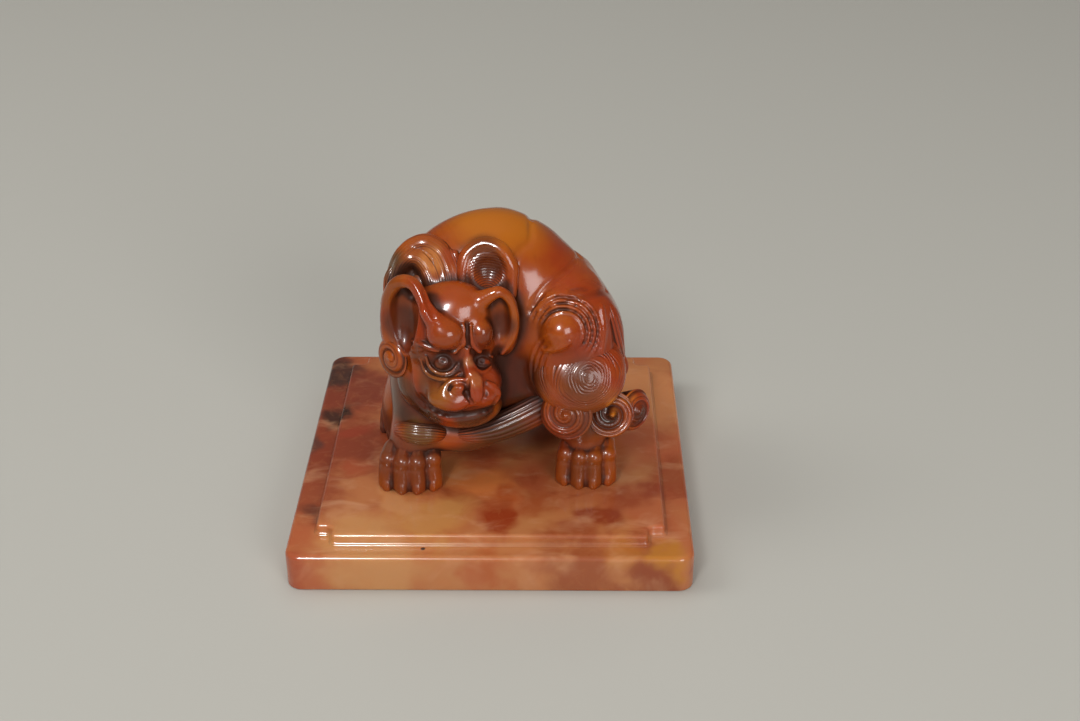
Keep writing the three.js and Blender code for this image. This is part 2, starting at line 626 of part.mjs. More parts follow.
forms.set('tail', {
  form: limb(TAIL.map(({ angle, swing, lift }) => onBack(angle, swing, lift)), TAIL_HALF_WIDTHS,
    TAIL_HALF_THICKNESSES, point(0, 1, 0), 9, 9),
  tone: 'hair',
});

// Stone: one block with clouds of colour, so each form has the tone of its own region

const tones = {
  plinth: { color: 0xb98c62, roughness: 0.22 },
  table: { color: 0xb5704a, roughness: 0.22 },
  back: { color: 0xa85a20, roughness: 0.18 },
  body: { color: 0x8c3e1e, roughness: 0.18 },
  face: { color: 0xa2552f, roughness: 0.18 },
  cheek: { color: 0x9a6a30, roughness: 0.2 },
  leg: { color: 0x7c4a34, roughness: 0.22 },
  hair: { color: 0x6e3f22, roughness: 0.26 },
  dark: { color: 0x4a2a18, roughness: 0.24 },
};

/** Named mesh in the stone's tone for its region. */
function meshOf(name, solid, tone) {
  const material = new THREE.MeshStandardMaterial({ ...tones[tone], metalness: 0 });
  const mesh = new THREE.Mesh(geometryOf(solid), material);
  mesh.name = name;
  return mesh;
}

/** The beast's nodes: each form less the ones before it, grown by the carving gap. */
function carvedBeast() {
  const beast = new THREE.Group();
  const before = [];
  for (const [name, { form, tone }] of forms) {
    const seats = before.filter(({ grown }) => !grown.intersect(form()).isEmpty());
    const solid = seats.reduce((rest, { grown }) => rest.subtract(grown), form());
    beast.add(meshOf(name, mainBody(solid.subtract(ground)), tone));
    before.push({ grown: form(CARVING_GAP) });
  }
  return beast;
}

const seal = new THREE.Group();
seal.add(meshOf('seal_plinth', solidOf(plinth()).add(stampingRelief()), 'plinth'));
seal.add(meshOf('seal_table', solidOf(table()), 'table'));
seal.add(carvedBeast());

export default seal;
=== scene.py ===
"""Carved soapstone seal: a square plinth, a notched table and a guardian beast as the knob.

The beast is worked as a carver works it. Large forms are blocked out on a grid of signed
distances, smaller forms are set on them, lines are cut in, and the skin of the grid becomes
the mesh. Curls, strands of hair and the fret of the stamping face repeat, so Geometry Nodes
make them. Work is in millimetres, and meshes are written in metres.

Left and right are the viewer's. Near is the side towards the viewer, far the side away.
"""

import logging
import math
from dataclasses import dataclass, field
from enum import Enum
from typing import Callable, Iterable, Sequence

import bpy
import numpy as np
import openvdb
from mathutils import Matrix, Vector


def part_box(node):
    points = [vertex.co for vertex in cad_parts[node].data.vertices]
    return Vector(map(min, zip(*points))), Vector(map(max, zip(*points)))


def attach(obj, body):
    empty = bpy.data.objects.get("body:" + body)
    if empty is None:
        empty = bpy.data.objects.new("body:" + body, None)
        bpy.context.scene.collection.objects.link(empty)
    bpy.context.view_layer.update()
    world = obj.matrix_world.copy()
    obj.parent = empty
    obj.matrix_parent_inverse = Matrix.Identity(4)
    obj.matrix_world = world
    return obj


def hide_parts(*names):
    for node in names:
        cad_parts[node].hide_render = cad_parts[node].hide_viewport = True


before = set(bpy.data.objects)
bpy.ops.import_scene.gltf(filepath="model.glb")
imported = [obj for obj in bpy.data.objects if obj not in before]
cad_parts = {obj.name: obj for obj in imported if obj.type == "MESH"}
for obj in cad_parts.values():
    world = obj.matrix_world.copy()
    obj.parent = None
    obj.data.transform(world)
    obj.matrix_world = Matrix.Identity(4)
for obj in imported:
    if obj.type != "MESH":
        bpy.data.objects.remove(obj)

MM = 0.001
BODY = "root"
TABLE_TOP = 11.3
LOG = logging.getLogger("seal")

Array = np.ndarray
Mesh = bpy.types.Mesh
Comb = Callable[[Array], tuple[Array, Array]]
Colour = tuple[int, int, int]
Pixel = tuple[float, float]
Pixels = Sequence[Pixel]
Point = tuple[float, float, float]


def vec(*numbers: float) -> Array:
    """Vector of numbers as an array."""
    return np.array(numbers, dtype=np.float64)


def unit(vector: Array) -> Array:
    """Vector of the same direction and length 1."""
    return vector / max(float(np.linalg.norm(vector)), 1e-9)


def node_box(name: str) -> tuple[Array, Array]:
    """Lowest and highest corner of a node of the frame, in millimetres."""
    low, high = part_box(name)
    return vec(*low) / MM, vec(*high) / MM


def smooth_step(value: Array, start: float, end: float) -> Array:
    """Share from 0 at start to 1 at end, with level ends."""
    share = np.clip((value - start) / (end - start), 0.0, 1.0)
    return share * share * (3.0 - 2.0 * share)


def through(points: Sequence[Sequence[float]], step: float = 0.6) -> Array:
    """Points of a smooth line through a few chosen ones.

    Args:
        points: Chosen points, two or more, of any dimension.
        step: Distance between the points returned.

    Returns:
        Points along a Catmull-Rom line, one to a row.
    """
    chosen = np.asarray(points, dtype=np.float64)
    padded = np.vstack([2 * chosen[0] - chosen[1], chosen, 2 * chosen[-1] - chosen[-2]])
    rows = []
    for i in range(len(chosen) - 1):
        a, b, c, d = padded[i:i + 4]
        count = max(2, int(math.ceil(np.linalg.norm((c - b)[:3]) / step)))
        for t in np.arange(count) / count:
            rows.append(0.5 * (2 * b + (c - a) * t + (2 * a - 5 * b + 4 * c - d) * t * t
                               + (3 * b - a - 3 * c + d) * t ** 3))
    rows.append(chosen[-1])
    return np.array(rows)


class Side(Enum):
    """Side of the beast: towards the viewer or away."""

    NEAR = -1
    FAR = 1

    @property
    def word(self) -> str:
        """The side's name as nodes spell it."""
        return self.name.lower()

    @property
    def flip(self) -> Array:
        """Factors that carry a direction over from the near side."""
        return vec(1, -self.value, 1)


@dataclass(frozen=True)
class PhotoView:
    """The photograph's camera, in its own pixels and in millimetres.

    Args:
        focal_px: Focal length in pixels.
        px_per_mm: Pixels to a millimetre at the beast.
    """

    width: int = 1080
    height: int = 721
    focal_px: float = 1594.0
    px_per_mm: float = 4.35
    place: Point = (15.0, -325.3, 217.4)
    yaw: float = math.radians(-0.756)
    dip: float = math.radians(29.56)
    roll: float = math.radians(-0.229)
    sensor_mm: float = 36.0

    def axes(self) -> tuple[Array, Array, Array]:
        """Directions to the right, up and forward of the camera."""
        forward = vec(math.sin(self.yaw) * math.cos(self.dip), math.cos(self.yaw) * math.cos(self.dip),
                      -math.sin(self.dip))
        level = vec(math.cos(self.yaw), -math.sin(self.yaw), 0.0)
        above = np.cross(level, forward)
        right = math.cos(self.roll) * level + math.sin(self.roll) * above
        up = math.cos(self.roll) * above - math.sin(self.roll) * level
        return right, up, forward

    def ray(self, pixel: tuple[float, float]) -> Array:
        """Direction from the camera through a pixel of the photograph."""
        right, up, forward = self.axes()
        across = (pixel[0] - self.width / 2) / self.focal_px
        down = (pixel[1] - self.height / 2) / self.focal_px
        return unit(forward + right * across - up * down)

    def pixel(self, points: Array) -> Array:
        """Pixels of the photograph at which points are seen, one to a row."""
        right, up, forward = self.axes()
        rel = points - vec(*self.place)
        ahead = rel @ forward
        return np.column_stack([self.width / 2 + self.focal_px * (rel @ right) / ahead,
                                self.height / 2 - self.focal_px * (rel @ up) / ahead])

    def at_depth(self, pixel: Pixel, y: float) -> Array:
        """Point seen at a pixel, on the upright plane at that y."""
        ray = self.ray(pixel)
        return vec(*self.place) + ray * (y - self.place[1]) / ray[1]

    def at_height(self, pixel: Pixel, z: float) -> Array:
        """Point seen at a pixel, on the level plane at that z."""
        ray = self.ray(pixel)
        return vec(*self.place) + ray * (z - self.place[2]) / ray[2]

    def points(self, *spots: Point) -> Array:
        """Points seen at pixels, each spot a pixel and the y of its upright plane."""
        return np.array([self.at_depth(spot[:2], spot[2]) for spot in spots])

    def make_camera(self) -> None:
        """Blender camera with this view."""
        data = bpy.data.cameras.new("camera")
        data.sensor_width = self.sensor_mm
        data.lens = self.focal_px / self.width * self.sensor_mm
        data.clip_start = 0.01
        data.clip_end = 10.0
        camera = bpy.data.objects.new("camera", data)
        right, up, forward = self.axes()
        turn = Matrix([[right[i], up[i], -forward[i]] for i in range(3)])
        camera.matrix_world = Matrix.Translation(Vector(self.place) * MM) @ turn.to_4x4()
        bpy.context.scene.collection.objects.link(camera)
        bpy.context.scene.camera = camera


PHOTO = PhotoView()


def tangent_frame(facing: Array, up: Array = vec(0.0, 0.0, 1.0)) -> Array:
    """Rows: across, upward and outward directions of a spot that faces `facing`."""
    out = unit(facing)
    across = unit(np.cross(up, out))
    return np.array([across, np.cross(out, across), out])


class Form:
    """A shape that knows its box and the distance of points to its skin, negative inside."""

    def box(self) -> tuple[Array, Array]:
        """Lowest and highest corner."""
        raise NotImplementedError

    def distance(self, x: Array, y: Array, z: Array) -> Array:
        """Distance to the skin at points whose coordinates broadcast together."""
        raise NotImplementedError


@dataclass
class Ball(Form):
    """Ellipsoid.

    Args:
        centre: Its middle.
        radii: Half sizes along its own axes.
        axes: Rows that give its own axes, the world's where left out.
    """

    centre: Sequence[float]
    radii: Sequence[float]
    axes: Array = field(default_factory=lambda: np.eye(3))

    def box(self) -> tuple[Array, Array]:
        """Lowest and highest corner."""
        reach = np.sqrt(((self.axes * np.array(self.radii)[:, None]) ** 2).sum(0))
        return vec(*self.centre) - reach, vec(*self.centre) + reach

    def distance(self, x: Array, y: Array, z: Array) -> Array:
        """Distance to the skin, exact at the skin and close to it nearby."""
        dx, dy, dz = x - self.centre[0], y - self.centre[1], z - self.centre[2]
        near, far = 0.0, 0.0
        for axis, radius in zip(self.axes, self.radii):
            along = dx * axis[0] + dy * axis[1] + dz * axis[2]
            near = near + (along / radius) ** 2
            far = far + (along / radius ** 2) ** 2
        size = np.sqrt(near)
        return (size * (size - 1.0) / np.maximum(np.sqrt(far), 1e-4)).astype(np.float32)


@dataclass
class Limb(Form):
    """Round section carried along a smooth line.

    Args:
        path: Points of the line, as given.
        radii: Half thickness at evenly spaced places of the line, from start to end.
        step: Distance between the line's own points.
    """

    path: Sequence[Sequence[float]]
    radii: Sequence[float]
    step: float = 1.2

    def stations(self) -> tuple[Array, Array]:
        """Points of the line and the half thickness at each."""
        line = through(self.path, self.step)
        length = np.concatenate([[0.0], np.cumsum(np.linalg.norm(np.diff(line, axis=0), axis=1))])
        share = length / length[-1] * (len(self.radii) - 1)
        return line, np.interp(share, np.arange(len(self.radii)), self.radii)

    def box(self) -> tuple[Array, Array]:
        """Lowest and highest corner."""
        line, radii = self.stations()
        return line.min(0) - radii.max(), line.max(0) + radii.max()

    def distance(self, x: Array, y: Array, z: Array) -> Array:
        """Distance to the skin."""
        line, radii = self.stations()
        result = None
        for a, b, ra, rb in zip(line[:-1], line[1:], radii[:-1], radii[1:]):
            way = b - a
            dx, dy, dz = x - a[0], y - a[1], z - a[2]
            share = np.clip((dx * way[0] + dy * way[1] + dz * way[2]) / (way @ way), 0.0, 1.0)
            px, py, pz = dx - share * way[0], dy - share * way[1], dz - share * way[2]
            gap = np.sqrt(px * px + py * py + pz * pz) - (ra + share * (rb - ra))
            result = gap if result is None else np.minimum(result, gap)
        return result.astype(np.float32)


@dataclass
class Clay:
    """Block worked as a grid of signed distances, positive outside the stone.

    Args:
        low: Lowest corner of the grid.
        high: Highest corner.
        pitch: Distance between the grid's points.
        margin: Distance written where there is only air.
        trace_depth: How far from the skin a traced line still works.
        ripple_depth: How far from the skin rings still work.
    """

    low: Sequence[float]
    high: Sequence[float]
    pitch: float
    margin: float = 2.5
    trace_depth: float = 2.6
    ripple_depth: float = 1.5
    values: Array = field(init=False)

    def __post_init__(self) -> None:
        """Starts with empty air everywhere."""
        self.low = np.floor(vec(*self.low) / self.pitch) * self.pitch
        counts = np.ceil((vec(*self.high) - self.low) / self.pitch).astype(int) + 1
        self.values = np.full(counts, self.margin, dtype=np.float32)

    def window(self, low: Array, high: Array) -> tuple[tuple[slice, ...], list[Array]]:
        """Slices of the grid that cover a box, and the coordinates there.

        Args:
            low: Lowest corner of the box.
            high: Highest corner of the box.

        Returns:
            The slices, and coordinates of x, y and z that broadcast together.
        """
        first = np.clip(np.floor((low - self.low) / self.pitch).astype(int), 0, None)
        last = np.minimum(np.ceil((high - self.low) / self.pitch).astype(int) + 1, self.values.shape)
        last = np.maximum(last, first)
        spans = tuple(slice(a, b) for a, b in zip(first, last))
        shapes = [(-1, 1, 1), (1, -1, 1), (1, 1, -1)]
        places = [(start + self.pitch * np.arange(a, b, dtype=np.float32)).reshape(shape)
                  for start, a, b, shape in zip(self.low, first, last, shapes)]
        return spans, places

    def near_skin(self, low: Array, high: Array, depth: float) -> tuple[Array, tuple[Array, ...], Array]:
        """Part of the grid close to the skin.

        Args:
            low: Lowest corner of the box that is looked at.
            high: Highest corner.
            depth: Largest distance from the skin.

        Returns:
            The grid's values in the box, the indices of those near the skin, and their places.
        """
        spans, axes = self.window(low, high)
        block = self.values[spans]
        close = np.nonzero(np.abs(block) < depth)
        return block, close, np.stack([axis.ravel()[i] for axis, i in zip(axes, close)], axis=1)

    def mix(self, form: Form, blend: float, sign: float) -> "Clay":
        """Joins a form on where the sign is 1, or takes it away where it is -1, over rounded edges."""
        low, high = form.box()
        reach = self.margin + blend
        spans, places = self.window(low - reach, high + reach)
        if min(part.stop - part.start for part in spans) > 0:
            own, other = sign * self.values[spans], form.distance(*places)
            fillet = np.maximum(blend - np.abs(own - other), 0) ** 2 / (4 * blend)
            self.values[spans] = sign * (np.minimum(own, other) - fillet)
        return self

    def add(self, form: Form, blend: float = 0.4) -> "Clay":
        """Joins a form on, with a fillet of about the blend's size."""
        return self.mix(form, blend, 1.0)

    def cut(self, form: Form, blend: float = 0.4) -> "Clay":
        """Takes a form away, with rounded rims of about the blend's size."""
        return self.mix(form, blend, -1.0)

    def ball(self, centre: Sequence[float], radii: Sequence[float], blend: float = 0.4) -> "Clay":
        """Joins an ellipsoid on."""
        return self.add(Ball(centre, radii), blend)

    def trace(self, line: Array, widths: Array, height: float, sharp: float = 2.0) -> None:
        """Raises a ridge along a line on the skin, or cuts a groove where the height is negative.

        Args:
            line: Points on the skin.
            widths: Half width at evenly spaced places of the line.
            height: How far the ridge stands out.
            sharp: 2 for a round section, 1 for a crease with a sharp bottom.
        """
        widths = np.interp(np.linspace(0, 1, len(line)), np.linspace(0, 1, len(widths)), widths)
        reach = 2.2 * widths.max()
        block, close, points = self.near_skin(line.min(0) - reach, line.max(0) + reach, self.trace_depth)
        best = np.full(len(points), 9.0, dtype=np.float32)
        for a, b, wa, wb in zip(line[:-1], line[1:], widths[:-1], widths[1:]):
            rel = points - a.astype(np.float32)
            way = (b - a).astype(np.float32)
            share = np.clip(rel @ way / max(float(way @ way), 1e-9), 0.0, 1.0)
            gap = np.linalg.norm(rel - share[:, None] * way, axis=1) / (wa + share * (wb - wa) + 1e-3)
            best = np.minimum(best, gap)
        block[close] -= height * np.exp(-best ** sharp)

    def ripple(self, pixel: Pixel, reach: tuple[float, float], pitch: float, height: float,
               turns: tuple[float, float]) -> None:
        """Raises rings of even spacing round the place of the skin seen at a pixel of the photograph.

        Args:
            pixel: Middle of the rings.
            reach: Smallest and largest ring.
            pitch: Distance from ring to ring.
            height: How far they stand out.
            turns: First and last angle in degrees, 0 to the right and 90 upwards.
        """
        middle = self.spot(pixel)
        around = 1.3 * reach[1]
        block, close, points = self.near_skin(middle - around, middle + around, self.ripple_depth)
        away = np.linalg.norm(points - middle, axis=1)
        seen = PHOTO.pixel(points) - vec(*pixel)
        span, fade = turns[1] - turns[0], 25.0
        angle = np.mod(np.degrees(np.arctan2(-seen[:, 1], seen[:, 0])) - turns[0], 360.0)
        share = smooth_step(away, reach[0] - 0.4, reach[0]) * smooth_step(-away, -reach[1] - 0.6, -reach[1])
        share = share * smooth_step(angle, 0.0, fade) * smooth_step(-angle, -span, fade - span)
        wave = np.cos((away - reach[0]) / pitch * 2.0 * math.pi)
        block[close] -= (height * share * wave).astype(np.float32)

    def sample(self, points: Array) -> Array:
        """Distance to the skin at points, read between the grid's points."""
        place = (points - self.low) / self.pitch
        top = np.array(self.values.shape) - 1.001
        inside = np.clip(place, 0, top)
        cell = inside.astype(int)
        share = (inside - cell).astype(np.float32)
        result = np.zeros(len(points), dtype=np.float32)
        for corner in range(8):
            steps = np.array([corner >> 2 & 1, corner >> 1 & 1, corner & 1])
            weight = np.prod(np.where(steps, share, 1 - share), axis=1)
            spot = cell + steps
            result += weight * self.values[spot[:, 0], spot[:, 1], spot[:, 2]]
        return result + (np.linalg.norm(place - inside, axis=1) * self.pitch).astype(np.float32)

    def slope(self, points: Array) -> Array:
        """Outward direction of the skin near points."""
        step = 1.2 * self.pitch
        sides = [self.sample(points + step * way) - self.sample(points - step * way) for way in np.eye(3)]
        out = np.stack(sides, axis=1)
        return out / np.maximum(np.linalg.norm(out, axis=1, keepdims=True), 1e-6)

    def cast(self, pixels: Pixels, sink: float = 0.0) -> Array:
        """Points of the skin seen at pixels of the photograph.

        Args:
            pixels: Pixels of the photograph.
            sink: How far below the skin the points lie.

        Returns:
            One point to a row. A pixel that misses the stone is left out.
        """
        start = vec(*PHOTO.place)
        rays = np.array([PHOTO.ray(pixel) for pixel in pixels])
        middle = (self.low + self.low + self.pitch * np.array(self.values.shape)) / 2
        span = self.pitch * np.linalg.norm(self.values.shape) / 2
        travel = (middle - start) @ rays.T - span
        end = travel + 2 * span
        for _ in range(240):
            gap = self.sample(start + rays * travel[:, None])
            travel += np.where((gap > 0.002) & (travel < end), np.maximum(0.8 * gap, 0.01), 0.0)
        hit = travel < end
        points = start + rays[hit] * travel[hit, None]
        return points - sink * self.slope(points)

    def line(self, pixels: Pixels, step: float = 0.6, sink: float = 0.0, even: int = 2) -> Array:
        """Smooth line on the skin through pixels of the photograph.

        Args:
            pixels: Pixels of the photograph.
            step: Distance between the line's points.
            sink: How far below the skin it runs.
            even: How many of its neighbours each point's depth is evened with, to each side.

        Returns:
            Points of the line.
        """
        points = self.cast(through(pixels, step * PHOTO.px_per_mm), sink)
        if even and len(points) > 2 * even + 1:
            start = vec(*PHOTO.place)
            rays = points - start
            depth = np.linalg.norm(rays, axis=1)
            padded = np.pad(depth, even, mode="reflect", reflect_type="odd")
            weights = np.hanning(2 * even + 3)[1:-1]
            evened = np.convolve(padded, weights / weights.sum(), mode="valid")
            points = start + rays * (evened / depth)[:, None]
        return points

    def tube(self, pixels: Pixels, radii: Sequence[float], sink: float, blend: float) -> None:
        """Lays a round rim along a line of the skin."""
        self.add(Limb(self.line(pixels, 1.2, sink), radii), blend)

    def spot(self, pixel: Pixel, sink: float = 0.0) -> Array:
        """Point of the skin seen at one pixel of the photograph, or below it by the sink."""
        return self.cast([pixel], sink)[0]

    def spots(self, *spots: Point) -> Array:
        """Points below the skin, each spot a pixel of the photograph and its sink."""
        return np.array([self.spot(spot[:2], spot[2]) for spot in spots]).reshape(-1, 3)

    def boss(self, pixel: Pixel, sink: float, radii: Sequence[float], blend: float) -> None:
        """Joins an ellipsoid on at a spot of the skin, or below it by the sink."""
        self.ball(self.spot(pixel, sink), radii, blend)

    def pit(self, pixel: Pixel, sink: float, radii: Sequence[float], blend: float) -> None:
        """Takes an ellipsoid away at a spot of the skin, or below it by the sink."""
        self.cut(Ball(self.spot(pixel, sink), radii), blend)

    def settle(self, points: Array) -> Array:
        """Points moved along the slope until they lie on the skin."""
        for _ in range(8):
            points = points - self.slope(points) * self.sample(points)[:, None]
        return points

    def skin(self) -> tuple[Array, Array]:
        """Corners and four-sided faces of the skin."""
        grid = openvdb.FloatGrid(background=float(self.margin))
        grid.copyFromArray(self.values)
        corners, _, faces = grid.convertToPolygons(isovalue=0.0, adaptivity=0.0)
        corners = self.low + corners * self.pitch
        for _ in range(2):
            corners = corners - self.slope(corners) * self.sample(corners)[:, None]
        return corners, faces


@dataclass
class Back(Form):
    """Arched trunk: a profile round the Y axis, swelling from flank to flank.

    The profile gives the reach from the centre at even turns from the rump over the top.
    """

    centre: Point = (3.5, -1.0, 41.9)
    reaches: tuple[float, ...] = (26.2, 24.9, 25.2, 29.4, 30.5, 29.6, 26.2, 22.0, 19.0, 18.5, 20.0, 24.0)
    half_depth: float = 14.5
    curl: float = 3.0
    fullness: float = 2.5
    evenness: float = 2.2

    def reach_at(self, angle: Array) -> Array:
        """Reach of the middle profile at angles in degrees: 0 is the rump, 90 the top."""
        count = len(self.reaches)
        wrapped = [(i * 360.0 / count, self.reaches[i % count]) for i in range(-2, count + 3)]
        table = through(wrapped, step=3.0)
        return np.interp(np.mod(angle, 360.0), table[:, 0], table[:, 1])

    def place(self, angle: float, swing: float, lift: float = 0.0) -> Array:
        """Point of the skin at a turn over the back and a swing towards a flank.

        Args:
            angle: Degrees from the rump (0) over the top (90).
            swing: Degrees from the middle (0) towards the far flank (90) or the near one (-90).
            lift: How far above the skin.

        Returns:
            The point.
        """
        turn, lean = math.radians(angle), math.radians(swing)
        reach = float(self.reach_at(np.array(angle))) * math.cos(lean) ** (2 / self.fullness) + lift
        x, z = reach * math.cos(turn), reach * math.sin(turn)
        y = (self.half_depth + lift) * math.sin(lean) - self.curl * (x / self.reaches[0]) ** 2
        return vec(*self.centre) + vec(x, y, z)

    def box(self) -> tuple[Array, Array]:
        """Lowest and highest corner."""
        reach = max(self.reaches) + 1.0
        size = vec(reach, self.half_depth + self.curl + 1.0, reach)
        return vec(*self.centre) - size, vec(*self.centre) + size

    def distance(self, x: Array, y: Array, z: Array) -> Array:
        """Distance to the skin, scaled by the form's own steepness."""
        dx, dz = x - self.centre[0], z - self.centre[2]
        reach = self.reach_at(np.degrees(np.arctan2(dz, dx)).ravel()).reshape(np.broadcast(dx, dz).shape)
        along = np.sqrt(dx * dx + dz * dz) / reach
        beside = (y - self.centre[1] + self.curl * (dx / self.reaches[0]) ** 2) / self.half_depth
        size = (along ** self.fullness + beside ** 2) ** (1 / self.evenness)
        pitch = float(x.ravel()[1] - x.ravel()[0])
        steep = np.sqrt(sum(part ** 2 for part in np.gradient(size, pitch)))
        return ((size - 1.0) / np.maximum(steep, 0.01)).astype(np.float32)


def make_object(name: str, mesh: Mesh) -> bpy.types.Object:
    """Object at the origin that shows a mesh."""
    piece = bpy.data.objects.new(name, mesh)
    bpy.context.scene.collection.objects.link(piece)
    return piece


def mesh_of(name: str, corners: Array, faces: Array) -> Mesh:
    """Smooth-shaded mesh in metres from corners in millimetres and faces of equal length."""
    mesh = bpy.data.meshes.new(name)
    mesh.vertices.add(len(corners))
    mesh.vertices.foreach_set("co", (corners * MM).astype(np.float32).ravel())
    mesh.loops.add(faces.size)
    mesh.loops.foreach_set("vertex_index", faces.astype(np.int32).ravel())
    mesh.polygons.add(len(faces))
    mesh.polygons.foreach_set("loop_start", np.arange(0, faces.size, faces.shape[1], dtype=np.int32))
    mesh.update(calc_edges=True)
    mesh.validate()
    mesh.shade_smooth()
    return mesh


def corners_of(mesh: Mesh) -> tuple[Array, Array]:
    """Corners of a mesh in millimetres, and the outward direction at each."""
    places = np.empty(len(mesh.vertices) * 3, dtype=np.float32)
    mesh.vertices.foreach_get("co", places)
    facings = np.empty(len(mesh.vertices) * 3, dtype=np.float32)
    mesh.vertex_normals.foreach_get("vector", facings)
    return places.reshape(-1, 3).astype(np.float64) / MM, facings.reshape(-1, 3).astype(np.float64)


def set_numbers(mesh: Mesh, name: str, values: Array) -> None:
    """Stores one number for each corner of a mesh under a name."""
    layer = mesh.attributes.get(name) or mesh.attributes.new(name, "FLOAT", "POINT")
    layer.data.foreach_set("value", values.astype(np.float32))


def math_operator(operation: str, swapped: bool = False) -> Callable[["Socket", object], "Socket"]:
    """Python operator that adds a Math node, with the two values swapped for a reflected form."""

    def apply(socket: "Socket", other: "Socket | float") -> "Socket":
        """Result of the operator."""
        return socket.math(operation, other, swapped=swapped)
    return apply


class Socket:
    """A node's output that takes part in Python expressions, in a shader or a geometry tree."""

    def __init__(self, tree: bpy.types.NodeTree, output: bpy.types.NodeSocket) -> None:
        """Wraps an output of a tree."""
        self.tree = tree
        self.output = output

    def math(self, operation: str, *others: "Socket | float", swapped: bool = False) -> "Socket":
        """Adds a Math node for this value and others."""
        node = self.tree.nodes.new("ShaderNodeMath")
        node.operation = operation
        values = [self, *others]
        for slot, value in zip(node.inputs, reversed(values) if swapped else values):
            plug(self.tree, slot, value)
        return Socket(self.tree, node.outputs[0])

    __add__ = __radd__ = math_operator("ADD")
    __mul__ = __rmul__ = math_operator("MULTIPLY")
    __sub__ = math_operator("SUBTRACT")
    __rsub__ = math_operator("SUBTRACT", swapped=True)
    __truediv__ = math_operator("DIVIDE")
    __rtruediv__ = math_operator("DIVIDE", swapped=True)

    def __pow__(self, other: float) -> "Socket":
        """Power."""
        return self.math("POWER", other)

    def __neg__(self) -> "Socket":
        """Opposite."""
        return self.math("MULTIPLY", -1.0)

    def __abs__(self) -> "Socket":
        """Size without sign."""
        return self.math("ABSOLUTE")

    def limited(self) -> "Socket":
        """Value held between 0 and 1."""
        limited = self.math("ADD", 0.0)
        limited.output.node.use_clamp = True
        return limited

    def ramp(self, low: float, high: float) -> "Socket":
        """Smooth share from 0 at low to 1 at high."""
        node = self.tree.nodes.new("ShaderNodeMapRange")
        node.interpolation_type = "SMOOTHSTEP"
        for name, value in {"Value": self, "From Min": low, "From Max": high}.items():
            plug(self.tree, node.inputs[name], value)
        return Socket(self.tree, node.outputs[0])


def plug(tree: bpy.types.NodeTree, slot: bpy.types.NodeSocket, value: object) -> None:
    """Links a socket to a node's input, or sets the input's own value."""
    if isinstance(value, Socket):
        tree.links.new(value.output, slot)
    else:
        slot.default_value = value


class Tree:
    """Shared way to add nodes to a shader or geometry tree."""

    def __init__(self, tree: bpy.types.NodeTree) -> None:
        """Starts on an empty tree."""
        self.tree = tree

    def node(self, kind: str, settings: dict[str, object] | None = None,
             inputs: dict[str | int, object] | None = None) -> bpy.types.Node:
        """Adds a node.

        Args:
            kind: Type of the node.
            settings: Its settings, which are set first.
            inputs: Values or links of its inputs, by name or number.

        Returns:
            The node.
        """
        node = self.tree.nodes.new(kind)
        for name, value in (settings or {}).items():
            setattr(node, name, value)
        for name, value in (inputs or {}).items():
            plug(self.tree, node.inputs[name], value)
        return node

    def out(self, node: bpy.types.Node, name: str | int = 0) -> Socket:
        """Output of a node by name or number."""
        return Socket(self.tree, node.outputs[name])

    def vector(self, operation: str, first: object, second: object = None, scale: object = None) -> Socket:
        """Vector Math node."""
        inputs: dict[str | int, object] = {0: first}
        if second is not None:
            inputs[1] = second
        if scale is not None:
            inputs["Scale"] = scale
        return self.out(self.node("ShaderNodeVectorMath", {"operation": operation}, inputs))


@dataclass(frozen=True)
class ColourPatch:
    """A place where the surface gets another colour. Most are stains of the stone; some are painted shade
    and some painted highlights.
    """

    centre: Point
    reach: float
    colour: Colour
    strength: float = 1.0


def seen(u: float, v: float, y: float, reach: float, colour: Colour, strength: float) -> ColourPatch:
    """Colour patch at a pixel of the photograph, on the upright plane at that y."""
    return ColourPatch(tuple(PHOTO.at_depth((u, v), y)), reach, colour, strength)


def laid(u: float, v: float, reach: float, colour: Colour, strength: float) -> ColourPatch:
    """Colour patch at a pixel of the photograph, on top of the table."""
    return ColourPatch(tuple(PHOTO.at_height((u, v), TABLE_TOP)), reach, colour, strength)


def linear(colour: Colour) -> tuple[float, float, float, float]:
    """Colour written as 0 to 255 turned to the linear values that a shader takes."""
    parts = [part / 255.0 for part in colour]
    low = [part / 12.92 if part <= 0.04045 else ((part + 0.055) / 1.055) ** 2.4 for part in parts]
    return (*low, 1.0)


